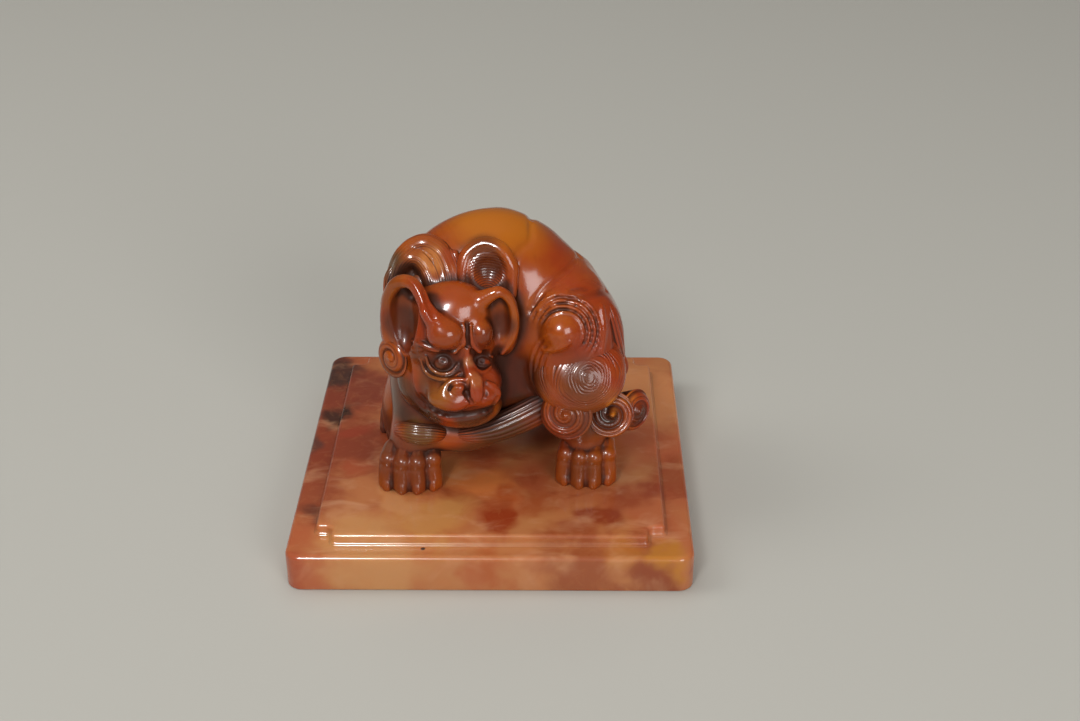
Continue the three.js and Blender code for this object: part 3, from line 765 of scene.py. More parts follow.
class ShaderTree(Tree):
    """Nodes of one material."""

    def __init__(self, name: str) -> None:
        """Starts an empty material."""
        self.material = bpy.data.materials.new(name)
        self.material.use_nodes = True
        self.material.node_tree.nodes.clear()
        super().__init__(self.material.node_tree)
        self.place = self.out(self.node("ShaderNodeTexCoord"), "Object")
        self.drifted = self.place

    def drift(self, size_mm: float, reach_mm: float) -> None:
        """Lets colour patches run unevenly: shifts their places by a noise of this size, this far at most.
        """
        noise = self.node("ShaderNodeTexNoise", {}, {
            "Vector": self.place, "Scale": 1.0 / (size_mm * MM), "Detail": 3.0, "Roughness": 0.55})
        centred = self.vector("SUBTRACT", self.out(noise, "Color"), (0.5, 0.5, 0.5))
        shift = self.vector("SCALE", centred, scale=2.0 * reach_mm * MM)
        self.drifted = self.vector("ADD", self.place, shift)

    def noise(self, size_mm: float, detail: float = 3.0, rough: float = 0.55, warp: float = 0.0,
              offset: Point = (0.0, 0.0, 0.0), stretch: Point = (1.0, 1.0, 1.0)) -> Socket:
        """Noise from 0 to 1 whose clouds are about this size.

        Args:
            size_mm: Size of a cloud.
            detail: Octaves of finer clouds.
            rough: Share of each finer octave.
            warp: Distortion.
            offset: Shift of the pattern, in its own clouds.
            stretch: Frequency along each axis.

        Returns:
            The noise.
        """
        moved = self.node("ShaderNodeMapping", {}, {
            "Vector": self.place, "Location": offset, "Scale": stretch})
        node = self.node("ShaderNodeTexNoise", {}, {
            "Vector": self.out(moved), "Scale": 1.0 / (size_mm * MM), "Detail": detail, "Roughness": rough,
            "Distortion": warp})
        return self.out(node, 0)

    def mix(self, share: Socket | float, first: object, colour: Colour) -> Socket:
        """Mixes a colour into another, which is a socket or a linear colour."""
        node = self.node("ShaderNodeMix", {"data_type": "RGBA"}, {0: share, 6: first, 7: linear(colour)})
        return self.out(node, 2)

    def with_patches(self, colour: Socket, colour_patches: Iterable[ColourPatch], edges: Socket,
                fade: tuple[float, float]) -> Socket:
        """Lays colour patches over a colour, one after another: stains, painted shade and painted
        highlights.

        Args:
            colour: Colour of the stone.
            colour_patches: The patches.
            edges: Noise that makes their edges uneven.
            fade: Shares at which a patch begins and is full.

        Returns:
            The colour with the patches laid on.
        """
        for patch in colour_patches:
            share = (self.near(patch.centre, patch.reach) * edges).ramp(*fade) * patch.strength
            colour = self.mix(share, colour, patch.colour)
        return colour

    def axis(self, name: str) -> Socket:
        """One coordinate of the place, in millimetres."""
        node = self.node("ShaderNodeSeparateXYZ", {}, {0: self.place})
        return self.out(node, name) * (1.0 / MM)

    def near(self, centre: Sequence[float], reach: float) -> Socket:
        """Share that falls from 1 at a place to 0 at a reach, in millimetres."""
        node = self.node("ShaderNodeVectorMath", {"operation": "DISTANCE"},
                         {0: self.drifted, 1: tuple(part * MM for part in centre)})
        return 1.0 - self.out(node, "Value").ramp(0.0, reach * MM)

    def attribute(self, name: str) -> Socket:
        """Number stored on the mesh."""
        return self.out(self.node("ShaderNodeAttribute", {"attribute_name": name}), "Fac")

    def finish(self, **inputs: object) -> bpy.types.Material:
        """Ends the tree in a Principled shader with these inputs."""
        shader = self.node("ShaderNodeBsdfPrincipled", {}, inputs)
        output = self.node("ShaderNodeOutputMaterial")
        self.tree.links.new(shader.outputs[0], output.inputs[0])
        return self.material


@dataclass(frozen=True)
class BeastStone:
    """Polished translucent stone of the beast, with painted shade and some dark patina in its recesses.

    Args:
        colour_patches: Places of another colour: stains of the stone, painted shade in hollows and under the
            belly, and painted highlights on the nose and hock curls.
        dull: Places with less polish: pixel and y of the middle, reach and strength.
    """

    name: str = "beast_stone"
    red: Colour = (150, 54, 16)
    amber: Colour = (164, 78, 14)
    # Deeper red of the stone's clouds, also mixed into recesses as painted shade.
    deep: Colour = (112, 36, 10)
    # Darkest colour in recesses: painted shade, with some patina.
    patina_and_shade: Colour = (46, 20, 8)
    # Paler colour of crests: partly worn edges, partly painted highlight.
    crest: Colour = (172, 94, 44)
    roughness: float = 0.22
    colour_patches: tuple[ColourPatch, ...] = (
        ColourPatch((2, -2, 74), 22, (176, 98, 18)),
        ColourPatch((-14, -14, 66), 12, (150, 78, 34), 0.8),
        ColourPatch((-22, -18, 60), 9, (136, 66, 18), 0.9),
        ColourPatch((-12, -26, 41), 9, (146, 84, 30), 0.9),
        ColourPatch((-23, -14, 34), 14, (96, 62, 40), 0.8),
        ColourPatch((-20, -20, 17), 14, (112, 52, 24), 0.9),
        ColourPatch((21, -16, 30), 15, (110, 60, 32), 0.9),
        ColourPatch((21, -16, 15), 12, (98, 48, 22), 0.9),
        ColourPatch((-26, 2, 58), 15, (104, 78, 52), 0.8),
        # Hock curls: painted shade in the hollow of the second curl and round the third, and painted
        # highlights on their centres.
        seen(608, 417, -20, 5, (52, 26, 13), 0.95),
        seen(617, 408, -21.2, 4.2, (210, 122, 34), 1.0),
        seen(637, 414, -15.5, 4.6, (56, 28, 14), 0.85),
        seen(631, 393, -17, 4.6, (190, 102, 32), 0.95),
        seen(432, 260, -12, 5, (196, 124, 66), 0.9),
        seen(450, 254, -12, 4.5, (146, 58, 26), 0.8),
        # Painted shade on the underside of the belly and in the recess above the elbow lock.
        ColourPatch((5, -15, 37), 13, (46, 17, 6), 0.95),
        ColourPatch((4, -17, 24), 13, (92, 52, 28), 0.9),
        ColourPatch((-4, -22, 30), 7, (96, 54, 32), 0.8),
        # Painted shade in the hollows of both ears and in the bowl of the mane's whorl.
        seen(402, 322, -16.5, 8, (78, 36, 15), 0.9),
        seen(502, 324, -17.5, 5.5, (76, 34, 13), 0.9),
        seen(489, 266, -13, 6, (78, 36, 12), 0.95),
        seen(398, 268, -10, 7, (92, 68, 42), 0.9),
        seen(412, 270, -12, 4, (104, 58, 20), 0.8),
        seen(462, 304, -22, 9, (156, 68, 26), 0.85),
        seen(484, 250, -11, 6.5, (104, 48, 16), 0.85),
        # Painted highlights along the bridge and tip of the nose.
        seen(468, 362, -23.6, 2.4, (178, 112, 70), 0.8),
        seen(475, 380, -26.5, 3.2, (172, 96, 52), 0.8),
        seen(436, 384, -22, 6, (112, 60, 20), 0.7),
        seen(447, 338, -25, 6, (134, 56, 22), 0.6),
        seen(486, 336, -21.5, 5, (106, 42, 17), 0.8),
        # Painted shade in the eye sockets, under the brows.
        seen(443, 361, -24, 3.6, (58, 30, 15), 0.85),
        seen(483, 361, -22.5, 3, (50, 24, 11), 0.85),
        seen(580, 378, -18, 10.5, (84, 46, 24), 0.9),
        seen(425, 352, -22, 7, (96, 46, 20), 0.8),
        seen(430, 386, -24, 6, (124, 66, 22), 0.8),
        seen(443, 400, -26, 4.5, (134, 70, 24), 0.8),
        seen(402, 400, -15, 8, (84, 54, 36), 0.8),
        seen(412, 414, -18, 6, (56, 30, 15), 0.85),
        seen(470, 424, -27, 7, (78, 42, 26), 0.9),
        seen(491, 410, -24, 4.6, (54, 28, 15), 0.9),
        seen(403, 390, -20, 6, (80, 48, 24), 0.85),
        seen(417, 408, -22, 6, (50, 28, 15), 0.9),
        seen(430, 420, -24, 5, (68, 38, 24), 0.85),
        seen(382, 420, 3, 12, (92, 50, 34), 0.9),
        seen(425, 446, -18, 7, (104, 62, 36), 0.85),
        seen(450, 447, -16, 7, (88, 54, 30), 0.85),
        seen(470, 444, -16, 8, (84, 50, 28), 0.85),
        seen(394, 448, -17, 7, (96, 58, 40), 0.8),
        seen(420, 434, -22.5, 7, (100, 72, 38), 0.9),
        seen(498, 424, -18, 10, (80, 48, 22), 0.9),
        # Painted shade on the flank under the haunch.
        seen(536, 402, -16, 8, (70, 32, 12), 0.85),
        seen(545, 380, -17, 7, (100, 54, 28), 0.7),
    )

    dull: tuple[tuple[Pixel, float, float, float], ...] = (
        ((512, 420), -19, 16, 1.17),
        ((586, 377), -20, 10, 0.78),
    )

    def make(self) -> bpy.types.Material:
        """Builds the material."""
        tree = ShaderTree(self.name)
        clouds = tree.noise(16.0, 4.0, 0.55, 0.4)
        colour = tree.mix(clouds.ramp(0.35, 0.68), linear(self.red), self.amber)
        darker = tree.noise(9.0, 3.0, 0.6, 0.8, (3.0, 1.0, 2.0)).ramp(0.56, 0.8) * 0.6
        colour = tree.mix(darker, colour, self.deep)
        edges = tree.noise(7.0, 3.0, 0.6, 0.5, (7.0, 4.0, 1.0)) * 0.5 + 0.75
        colour = tree.with_patches(colour, self.colour_patches, edges, (0.1, 0.75))
        # Paler on crests: partly worn edges, partly painted highlight and glow of thin stone.
        colour = tree.mix(tree.attribute("crest") * 0.35, colour, self.crest)
        # Darker in recesses and in the grooves between strands: mostly painted shade, with some patina in
        # the hollows.
        cavity = (tree.attribute("cavity") + tree.attribute("groove") * 0.7).limited()
        colour = tree.mix(cavity.ramp(0.02, 0.5) * 0.45, colour, self.deep)
        colour = tree.mix(cavity.ramp(0.2, 1.0) * 0.85, colour, self.patina_and_shade)
        grain = tree.noise(0.5, 2.0)
        worn = 1.0 - tree.axis("Z").ramp(18.0, 30.0)
        for pixel, y, reach, strength in self.dull:
            worn = worn + tree.near(PHOTO.at_depth(pixel, y), reach).ramp(0.1, 0.6) * strength
        polish = (1.0 - cavity) * (1.0 - worn * 0.4) * 0.6
        rough = self.roughness + cavity * 0.3 + tree.noise(4.0, 3.0) * 0.06 + worn * 0.1
        bump = tree.node("ShaderNodeBump", {}, {"Strength": 0.06, "Distance": 0.0002, "Height": grain})
        return tree.finish(**{
            "Base Color": colour, "Roughness": rough.limited(), "Normal": tree.out(bump), "IOR": 1.3,
            "Subsurface Weight": 0.12, "Subsurface Radius": (1.0, 0.35, 0.12), "Subsurface Scale": 0.002,
            "Coat Weight": polish.limited(), "Coat Roughness": 0.13})


@dataclass(frozen=True)
class BlockStone:
    """Cream and pink stone of the plinth, with soft brick-red clouds and grey patches."""

    name: str = "block_stone"
    cream: Colour = (186, 120, 72)
    pink: Colour = (176, 88, 52)
    brick: Colour = (140, 56, 28)
    milk: Colour = (214, 160, 118)
    roughness: float = 0.2
    colour_patches: tuple[ColourPatch, ...] = (
        ColourPatch((-50, 26, 9), 34, (128, 54, 34), 0.95),
        ColourPatch((-48, 0, 9), 26, (134, 56, 32), 0.9),
        ColourPatch((-36, -4, 11), 24, (134, 58, 34), 0.95),
        ColourPatch((-44, -22, 9), 17, (144, 64, 38), 0.85),
        ColourPatch((-30, 22, 11), 16, (130, 58, 38), 0.9),
        ColourPatch((-14, -33, 11), 17, (196, 136, 76), 0.9),
        ColourPatch((-30, -38, 8), 16, (198, 138, 84), 0.95),
        # Lighter on the table under the head: partly the stone's peach colour, partly painted light that
        # lifts the head's cast shadow.
        ColourPatch((-1, -19, 11), 14, (218, 126, 66), 0.9),
        laid(400, 497, 8, (200, 140, 90), 0.7),
        laid(352, 470, 7, (166, 78, 46), 0.8),
        laid(477, 452, 8, (168, 80, 46), 0.75),
        laid(318, 420, 6, (60, 36, 30), 0.85),
        laid(340, 410, 5, (58, 30, 20), 0.85),
        laid(536, 482, 6, (170, 84, 50), 0.7),
        laid(362, 430, 6, (150, 60, 36), 0.8),
        laid(448, 470, 7, (206, 132, 78), 0.7),
        laid(524, 500, 5, (206, 140, 92), 0.7),
        laid(566, 478, 6, (198, 126, 80), 0.8),
        laid(600, 450, 6, (204, 138, 92), 0.7),
        ColourPatch((4, -26, 11), 7, (180, 84, 40), 0.7),
        ColourPatch((3, -34, 11), 10, (150, 56, 24), 0.95),
        ColourPatch((11, -27, 11), 8, (162, 76, 38), 0.7),
        ColourPatch((18, -38, 11), 8, (146, 62, 32), 0.8),
        ColourPatch((24, -33, 11), 9, (142, 58, 30), 0.95),
        ColourPatch((31, -27, 11), 9.5, (156, 72, 38), 0.95),
        ColourPatch((38, -21, 11), 9, (146, 62, 34), 0.9),
        ColourPatch((44, -12, 9), 14, (150, 66, 34), 0.8),
        ColourPatch((40, 22, 10), 26, (204, 134, 84), 0.9),
        ColourPatch((-44, -45, 5), 7, (166, 80, 48), 0.85),
        ColourPatch((-24, -45, 5), 14, (196, 138, 86), 0.9),
        ColourPatch((0, -45, 5), 11, (172, 86, 42), 0.85),
        ColourPatch((20, -46, 4), 14, (150, 76, 42), 0.9),
        ColourPatch((36, -46, 3), 12, (138, 62, 32), 0.9),
        ColourPatch((30, -43, 9), 9, (176, 108, 44), 0.8),
        ColourPatch((40, -43, 9), 8, (184, 118, 40), 0.9),
        ColourPatch((-40, 14, 10), 8, (58, 34, 26), 0.9),
        ColourPatch((-42, 34, 9), 12, (64, 42, 35), 0.9),
        ColourPatch((-45, 2, 8), 6.5, (84, 52, 44), 0.8),
        ColourPatch((-44, -27, 8), 5, (94, 50, 36), 0.7),
    )
    speck: ColourPatch = ColourPatch((-14.6, -41.6, 8.9), 0.9, (40, 20, 14))

    def make(self) -> bpy.types.Material:
        """Builds the material."""
        tree = ShaderTree(self.name)
        clouds = tree.noise(24.0, 2.0, 0.5, 0.6, (1.0, 2.0, 0.0)).ramp(0.3, 0.7)
        colour = tree.mix(clouds, linear(self.cream), self.pink)
        bricks = tree.noise(15.0, 4.0, 0.55, 1.0, (6.0, 3.0, 2.0), (1.0, 1.4, 1.0)).ramp(0.52, 0.78) * 0.7
        colour = tree.mix(bricks, colour, self.brick)
        tree.drift(14.0, 9.0)
        edges = tree.noise(6.0, 4.0, 0.6, 0.8, (7.0, 4.0, 1.0)) * 1.2 + 0.4
        colour = tree.with_patches(colour, self.colour_patches, edges, (0.05, 0.8))
        colour = tree.mix(tree.noise(2.6, 4.0, 0.6, 0.8).ramp(0.48, 0.8) * 0.2, colour, self.cream)
        veins = tree.noise(11.0, 3.0, 0.55, 0.5, (3.0, 8.0, 2.0), (1.0, 1.8, 1.0)).ramp(0.5, 0.8) * 0.45
        colour = tree.mix(veins, colour, self.milk)
        tree.drifted = tree.place
        speck = tree.near(self.speck.centre, self.speck.reach).ramp(0.2, 0.7)
        colour = tree.mix(speck, colour, self.speck.colour)
        return tree.finish(**{
            "Base Color": colour, "Roughness": (self.roughness + tree.noise(5.0, 3.0) * 0.08).limited(),
            "IOR": 1.44, "Subsurface Weight": 0.25, "Subsurface Radius": (1.0, 0.5, 0.3),
            "Subsurface Scale": 0.003, "Coat Weight": 0.35, "Coat Roughness": 0.06})


class GeometryTree(Tree):
    """Nodes of one Geometry Nodes modifier, with named inputs."""

    def __init__(self, name: str, **sizes: float) -> None:
        """Starts a tree.

        Args:
            name: Name of the tree.
            sizes: Default of each named input. The material is an input too.
        """
        super().__init__(bpy.data.node_groups.new(name, "GeometryNodeTree"))
        self.tree.is_modifier = True
        for way in ("INPUT", "OUTPUT"):
            self.tree.interface.new_socket(name="Geometry", in_out=way, socket_type="NodeSocketGeometry")
        self.names: dict[str, str] = {}
        kinds = {int: "NodeSocketInt", float: "NodeSocketFloat"}
        for label, default in {**sizes, "Material": None}.items():
            made = self.tree.interface.new_socket(
                name=label, in_out="INPUT", socket_type=kinds.get(type(default), "NodeSocketMaterial"))
            if default is not None:
                made.default_value = default
            self.names[label] = made.identifier
        self.group_in = self.node("NodeGroupInput")

    def given(self, name: str) -> Socket:
        """One of the tree's named inputs."""
        return self.out(self.group_in, name)

    def stored(self, name: str, kind: str = "FLOAT") -> Socket:
        """Named attribute of the geometry."""
        return self.out(self.node("GeometryNodeInputNamedAttribute", {"data_type": kind}, {"Name": name}))

    def sheet(self, rings: Socket, sides: Socket) -> tuple[Socket, Socket, Socket]:
        """Flat grid to be bent into a skin, with its two shares from 0 to 1."""
        grid = self.node("GeometryNodeMeshGrid", {}, {
            "Size X": 1.0, "Size Y": 1.0, "Vertices X": rings, "Vertices Y": sides})
        place = self.node("ShaderNodeSeparateXYZ", {}, {0: self.out(self.node("GeometryNodeInputPosition"))})
        return self.out(grid, "Mesh"), self.out(place, "X") + 0.5, self.out(place, "Y") + 0.5

    def store(self, geometry: Socket, name: str, value: Socket) -> Socket:
        """Stores a number at each corner of the geometry."""
        return self.out(self.node("GeometryNodeStoreNamedAttribute", {"domain": "POINT"}, {
            "Geometry": geometry, "Name": name, "Value": value}))

    def end(self, geometry: Socket, weld: float = 0.0, smooth: bool = True) -> None:
        """Ends the tree: welds doubles, shades smooth, realizes instances and sets the material."""
        if weld:
            geometry = self.out(self.node("GeometryNodeMergeByDistance", {},
                                          {"Geometry": geometry, "Distance": weld * MM}))
        if smooth:
            geometry = self.out(self.node("GeometryNodeSetShadeSmooth", {}, {"Geometry": geometry}))
        geometry = self.out(self.node("GeometryNodeRealizeInstances", {}, {"Geometry": geometry}))
        dressed = self.node("GeometryNodeSetMaterial", {}, {
            "Geometry": geometry, "Material": self.given("Material")})
        self.node("NodeGroupOutput", {}, {0: self.out(dressed)})

    def grow(self, name: str, seed: Mesh, values: dict[str, object]) -> Mesh:
        """Runs the tree on a mesh.

        Args:
            name: Name of the mesh that comes out.
            seed: Mesh that goes in.
            values: The tree's named inputs.

        Returns:
            A plain mesh.
        """
        carrier = make_object(name, seed)
        modifier = carrier.modifiers.new(self.tree.name, "NODES")
        modifier.node_group = self.tree
        for label, value in values.items():
            modifier[self.names[label]] = value
        shown = carrier.evaluated_get(bpy.context.evaluated_depsgraph_get())
        mesh = bpy.data.meshes.new_from_object(shown)
        mesh.name = name
        bpy.data.objects.remove(carrier)
        return outward(mesh)


def outward(mesh: Mesh) -> Mesh:
    """Turns a closed mesh's faces round if they point inwards."""
    places, _ = corners_of(mesh)
    mesh.calc_loop_triangles()
    corners = np.empty(len(mesh.loop_triangles) * 3, dtype=np.int32)
    mesh.loop_triangles.foreach_get("vertices", corners)
    a, b, c = (places[corners.reshape(-1, 3)[:, i]] for i in range(3))
    if np.einsum("ij,ij->i", a, np.cross(b, c)).sum() < 0:
        mesh.flip_normals()
    return mesh


WELD = 0.004


def strand_tree() -> GeometryTree:
    """Cuts fine strands into a skin, along its attributes `strand` (place across, mm) and `combed`."""
    tree = GeometryTree("cut_strands", Pitch=0.8, Depth=0.2, Levels=1)
    finer = tree.node("GeometryNodeSubdivisionSurface", {}, {
        "Mesh": tree.given("Geometry"), "Level": tree.given("Levels")})
    wave = abs((tree.stored("strand") / tree.given("Pitch") * math.pi).math("SINE"))
    groove = (1.0 - wave ** 0.6) * tree.stored("combed")
    # Depth of each groove, stored for the painted shade in the grooves.
    marked = tree.store(tree.out(finer), "groove", groove)
    moved = tree.node("GeometryNodeSetPosition", {}, {
        "Geometry": marked,
        "Offset": tree.vector("SCALE", tree.out(tree.node("GeometryNodeInputNormal")),
                              scale=groove * tree.given("Depth") * -MM)})
    tree.end(tree.out(moved))
    return tree


def curl_tree() -> GeometryTree:
    """Domed disc of hair with a spiral ridge and fine strands, facing +Z, its seat behind it."""
    tree = GeometryTree("curl_of_hair", Radius=5.0, Dome=2.0, Seat=3.0, Turns=2.0, Ridge=0.4, Strands=3.0,
                        Relief=0.15, Bump=0.6, Hand=1.0, Rings=44, Sides=112)
    mesh, share, turn = tree.sheet(tree.given("Rings"), tree.given("Sides"))
    disc_share, wall_taper, last_ring, bump_reach = 0.86, 0.35, 0.995, 0.17
    reach = (share / disc_share).math("MINIMUM", 1.0)
    wall = share.ramp(disc_share, 1.0)
    closing = share.math("LESS_THAN", last_ring)
    radius = tree.given("Radius") * reach * (1.0 - wall * wall_taper) * closing
    cycle = tree.given("Turns") * reach - tree.given("Hand") * turn
    fade = (reach * tree.given("Turns") * 1.2).math("MINIMUM", 1.0) * (1.0 - wall)
    ridge = (abs((cycle * math.pi).math("COSINE")) * 2.0 - 1.0) * tree.given("Ridge")
    strands = abs((cycle * tree.given("Strands") * math.pi).math("SINE")) ** 0.6 - 1.0
    bump = (-(reach / bump_reach) ** 2).math("EXPONENT") * tree.given("Bump")
    crown = (1.0 - (reach * 0.97) ** 2).math("SQRT") * tree.given("Dome")
    height = crown + (ridge + strands * tree.given("Relief")) * fade + bump - wall * tree.given("Seat")
    angle = turn * (2.0 * math.pi)
    place = tree.node("ShaderNodeCombineXYZ", {}, {
        0: radius * angle.math("COSINE") * MM, 1: radius * angle.math("SINE") * MM, 2: height * MM})
    valley = (1.0 - abs((cycle * math.pi).math("COSINE"))) * 0.6
    # Depth of each groove, stored for the painted shade in the grooves.
    marked = tree.store(mesh, "groove", ((valley - strands) * fade).limited())
    moved = tree.node("GeometryNodeSetPosition", {}, {"Geometry": marked, "Position": tree.out(place)})
    tree.end(tree.out(moved), WELD)
    return tree


def lock_tree() -> GeometryTree:
    """Lock of hair: an oval skin with strands, swept along the path that the seed's edges give."""
    tree = GeometryTree("lock_of_hair", Strands=9, Relief=0.22, Blunt=0.6, Rings=60, Sides=97)
    mesh, share, turn = tree.sheet(tree.given("Rings"), tree.given("Sides"))
    path = tree.out(tree.node("GeometryNodeMeshToCurve", {}, {"Mesh": tree.given("Geometry")}))
    eased = (1.0 - (share * math.pi).math("COSINE")) * 0.5

    def along(kind: str, name: str) -> bpy.types.Node:
        """Samples the path and one of its stored values."""
        settings = {"mode": "FACTOR", "data_type": kind, "use_all_curves": True}
        return tree.node("GeometryNodeSampleCurve", settings, {
            "Curves": path, "Value": tree.stored(name, kind), "Factor": eased})

    facing = along("FLOAT_VECTOR", "facing")
    tangent = tree.out(facing, "Tangent")
    side = tree.vector("NORMALIZE", tree.vector("CROSS_PRODUCT", tangent, tree.out(facing, "Value")))
    out = tree.vector("NORMALIZE", tree.vector("CROSS_PRODUCT", side, tangent))
    cap = (share * math.pi).math("SINE").math("MAXIMUM", 0.0).math("POWER", tree.given("Blunt"))
    angle = turn * (2.0 * math.pi)
    wave = abs((angle * (tree.given("Strands") * 0.5)).math("COSINE")) ** 0.7
    sink = (wave - 1.0) * tree.given("Relief") * cap
    wide = tree.out(along("FLOAT", "wide"), "Value") * cap + sink
    thick = tree.out(along("FLOAT", "thick"), "Value") * cap + sink
    place = tree.vector("ADD", tree.out(facing, "Position"), tree.vector(
        "SCALE", side, scale=wide * angle.math("COSINE") * MM))
    place = tree.vector("ADD", place, tree.vector("SCALE", out, scale=thick * angle.math("SINE") * MM))
    # Depth of each groove, stored for the painted shade in the grooves.
    marked = tree.store(mesh, "groove", (1.0 - wave) * cap)
    moved = tree.node("GeometryNodeSetPosition", {}, {"Geometry": marked, "Position": place})
    tree.end(tree.out(moved), WELD)
    return tree


@dataclass
class Stone:
    """The whole block, kept coarsely, to tell how hidden or how open each place is.

    The reaches are how far out the stone is looked for, the fine ones in a piece's own clay.
    """

    whole: Clay
    reaches: tuple[float, ...] = (1.6, 3.4, 6.0, 9.0)
    fine_reaches: tuple[float, ...] = (0.35, 0.7)

    def take(self, clay: Clay) -> None:
        """Adds a worked clay to the block."""
        high = clay.low + clay.pitch * (np.array(clay.values.shape) - 1)
        spans, (x, y, z) = self.whole.window(clay.low, high)
        grid = np.stack(np.broadcast_arrays(x, y, z), axis=-1).reshape(-1, 3)
        taken = clay.sample(grid).reshape(np.broadcast(x, y, z).shape)
        self.whole.values[spans] = np.minimum(self.whole.values[spans], taken)

    def hidden_share(self, places: Array, facings: Array) -> Array:
        """Share of five ways out from each place, straight and slanting, that the block stands in."""
        across = np.cross(facings, vec(0.31, 0.27, 0.91))
        across /= np.maximum(np.linalg.norm(across, axis=1, keepdims=True), 1e-6)
        along = np.cross(facings, across)
        hidden = np.zeros(len(places), dtype=np.float32)
        for lean in (facings * 1.4, facings + across, facings - across, facings + along, facings - along):
            way = lean / np.linalg.norm(lean, axis=1, keepdims=True)
            free = np.ones(len(places), dtype=np.float32)
            for reach in self.reaches:
                gap = self.whole.sample(places + way * reach) / min(0.65 * reach, 2.3)
                free = np.minimum(free, np.clip(gap + 0.04 * (reach - self.reaches[0]), 0.0, 1.0))
            hidden += (1.0 - free) / 5.0
        return hidden

    def shade(self, mesh: Mesh, own: Clay | None = None) -> None:
        """Stores how deep in a recess and how far out on a crest each corner of a mesh lies.

        Args:
            mesh: Mesh of one piece.
            own: The clay that it came from, which shows its finer recesses.
        """
        places, facings = corners_of(mesh)
        # How hidden each place is; the beast's material turns this into painted shade.
        cavity = 1.15 * self.hidden_share(places, facings)
        crest = np.zeros(len(places), dtype=np.float32)
        if own is not None:
            for reach in self.fine_reaches:
                groove = 1.0 - own.sample(places + facings * reach) / reach
                cavity += 0.3 * np.clip(groove, 0.0, 1.0)
                crest += 0.5 * np.clip(1.0 + own.sample(places - facings * reach) / reach, 0.0, 1.0)
        set_numbers(mesh, "cavity", smooth_step(cavity, 0.1, 0.85))
        set_numbers(mesh, "crest", smooth_step(crest, 0.25, 0.9))


@dataclass(frozen=True)
class Stroke:
    """One line cut or raised on the skin, drawn over the photograph.

    Args:
        pixels: Pixels of the photograph that it passes through.
        widths: Half width at evenly spaced places along it, in millimetres.
        height: How far it stands out, negative where it is cut in.
        sharp: 2 for a round section, 1 for a crease.
    """

    pixels: Pixels
    widths: tuple[float, ...]
    height: float
    sharp: float = 2.0


def draw(clay: Clay, strokes: Iterable[Stroke], mirror_y: float | None = None) -> None:
    """Works strokes into a clay.

    Args:
        clay: The clay.
        strokes: Lines to cut or raise.
        mirror_y: Where given, each line is repeated on the far side of this upright plane.
    """
    for stroke in strokes:
        line = clay.line(stroke.pixels)
        if len(line) < 2:
            LOG.warning("line from %s misses the stone", stroke.pixels[0])
            continue
        clay.trace(line, np.array(stroke.widths), stroke.height, stroke.sharp)
        near = line[line[:, 1] < mirror_y] if mirror_y is not None else line[:0]
        if len(near) > 1:
            other = clay.settle(near * vec(1, -1, 1) + vec(0, 2 * mirror_y, 0))
            clay.trace(other, np.array(stroke.widths), stroke.height, stroke.sharp)


@dataclass(frozen=True)
class LockShape:
    """Section of a lock of hair.

    Args:
        wide: Half width at evenly spaced places.
        thick: Half thickness at evenly spaced places.
        strands: Number of strands round it.
        relief: Depth of the cuts between them.
        blunt: 0 for square ends, 1 for long rounded ones.
    """

    wide: tuple[float, ...]
    thick: tuple[float, ...]
    strands: int
    relief: float
    blunt: float = 0.6


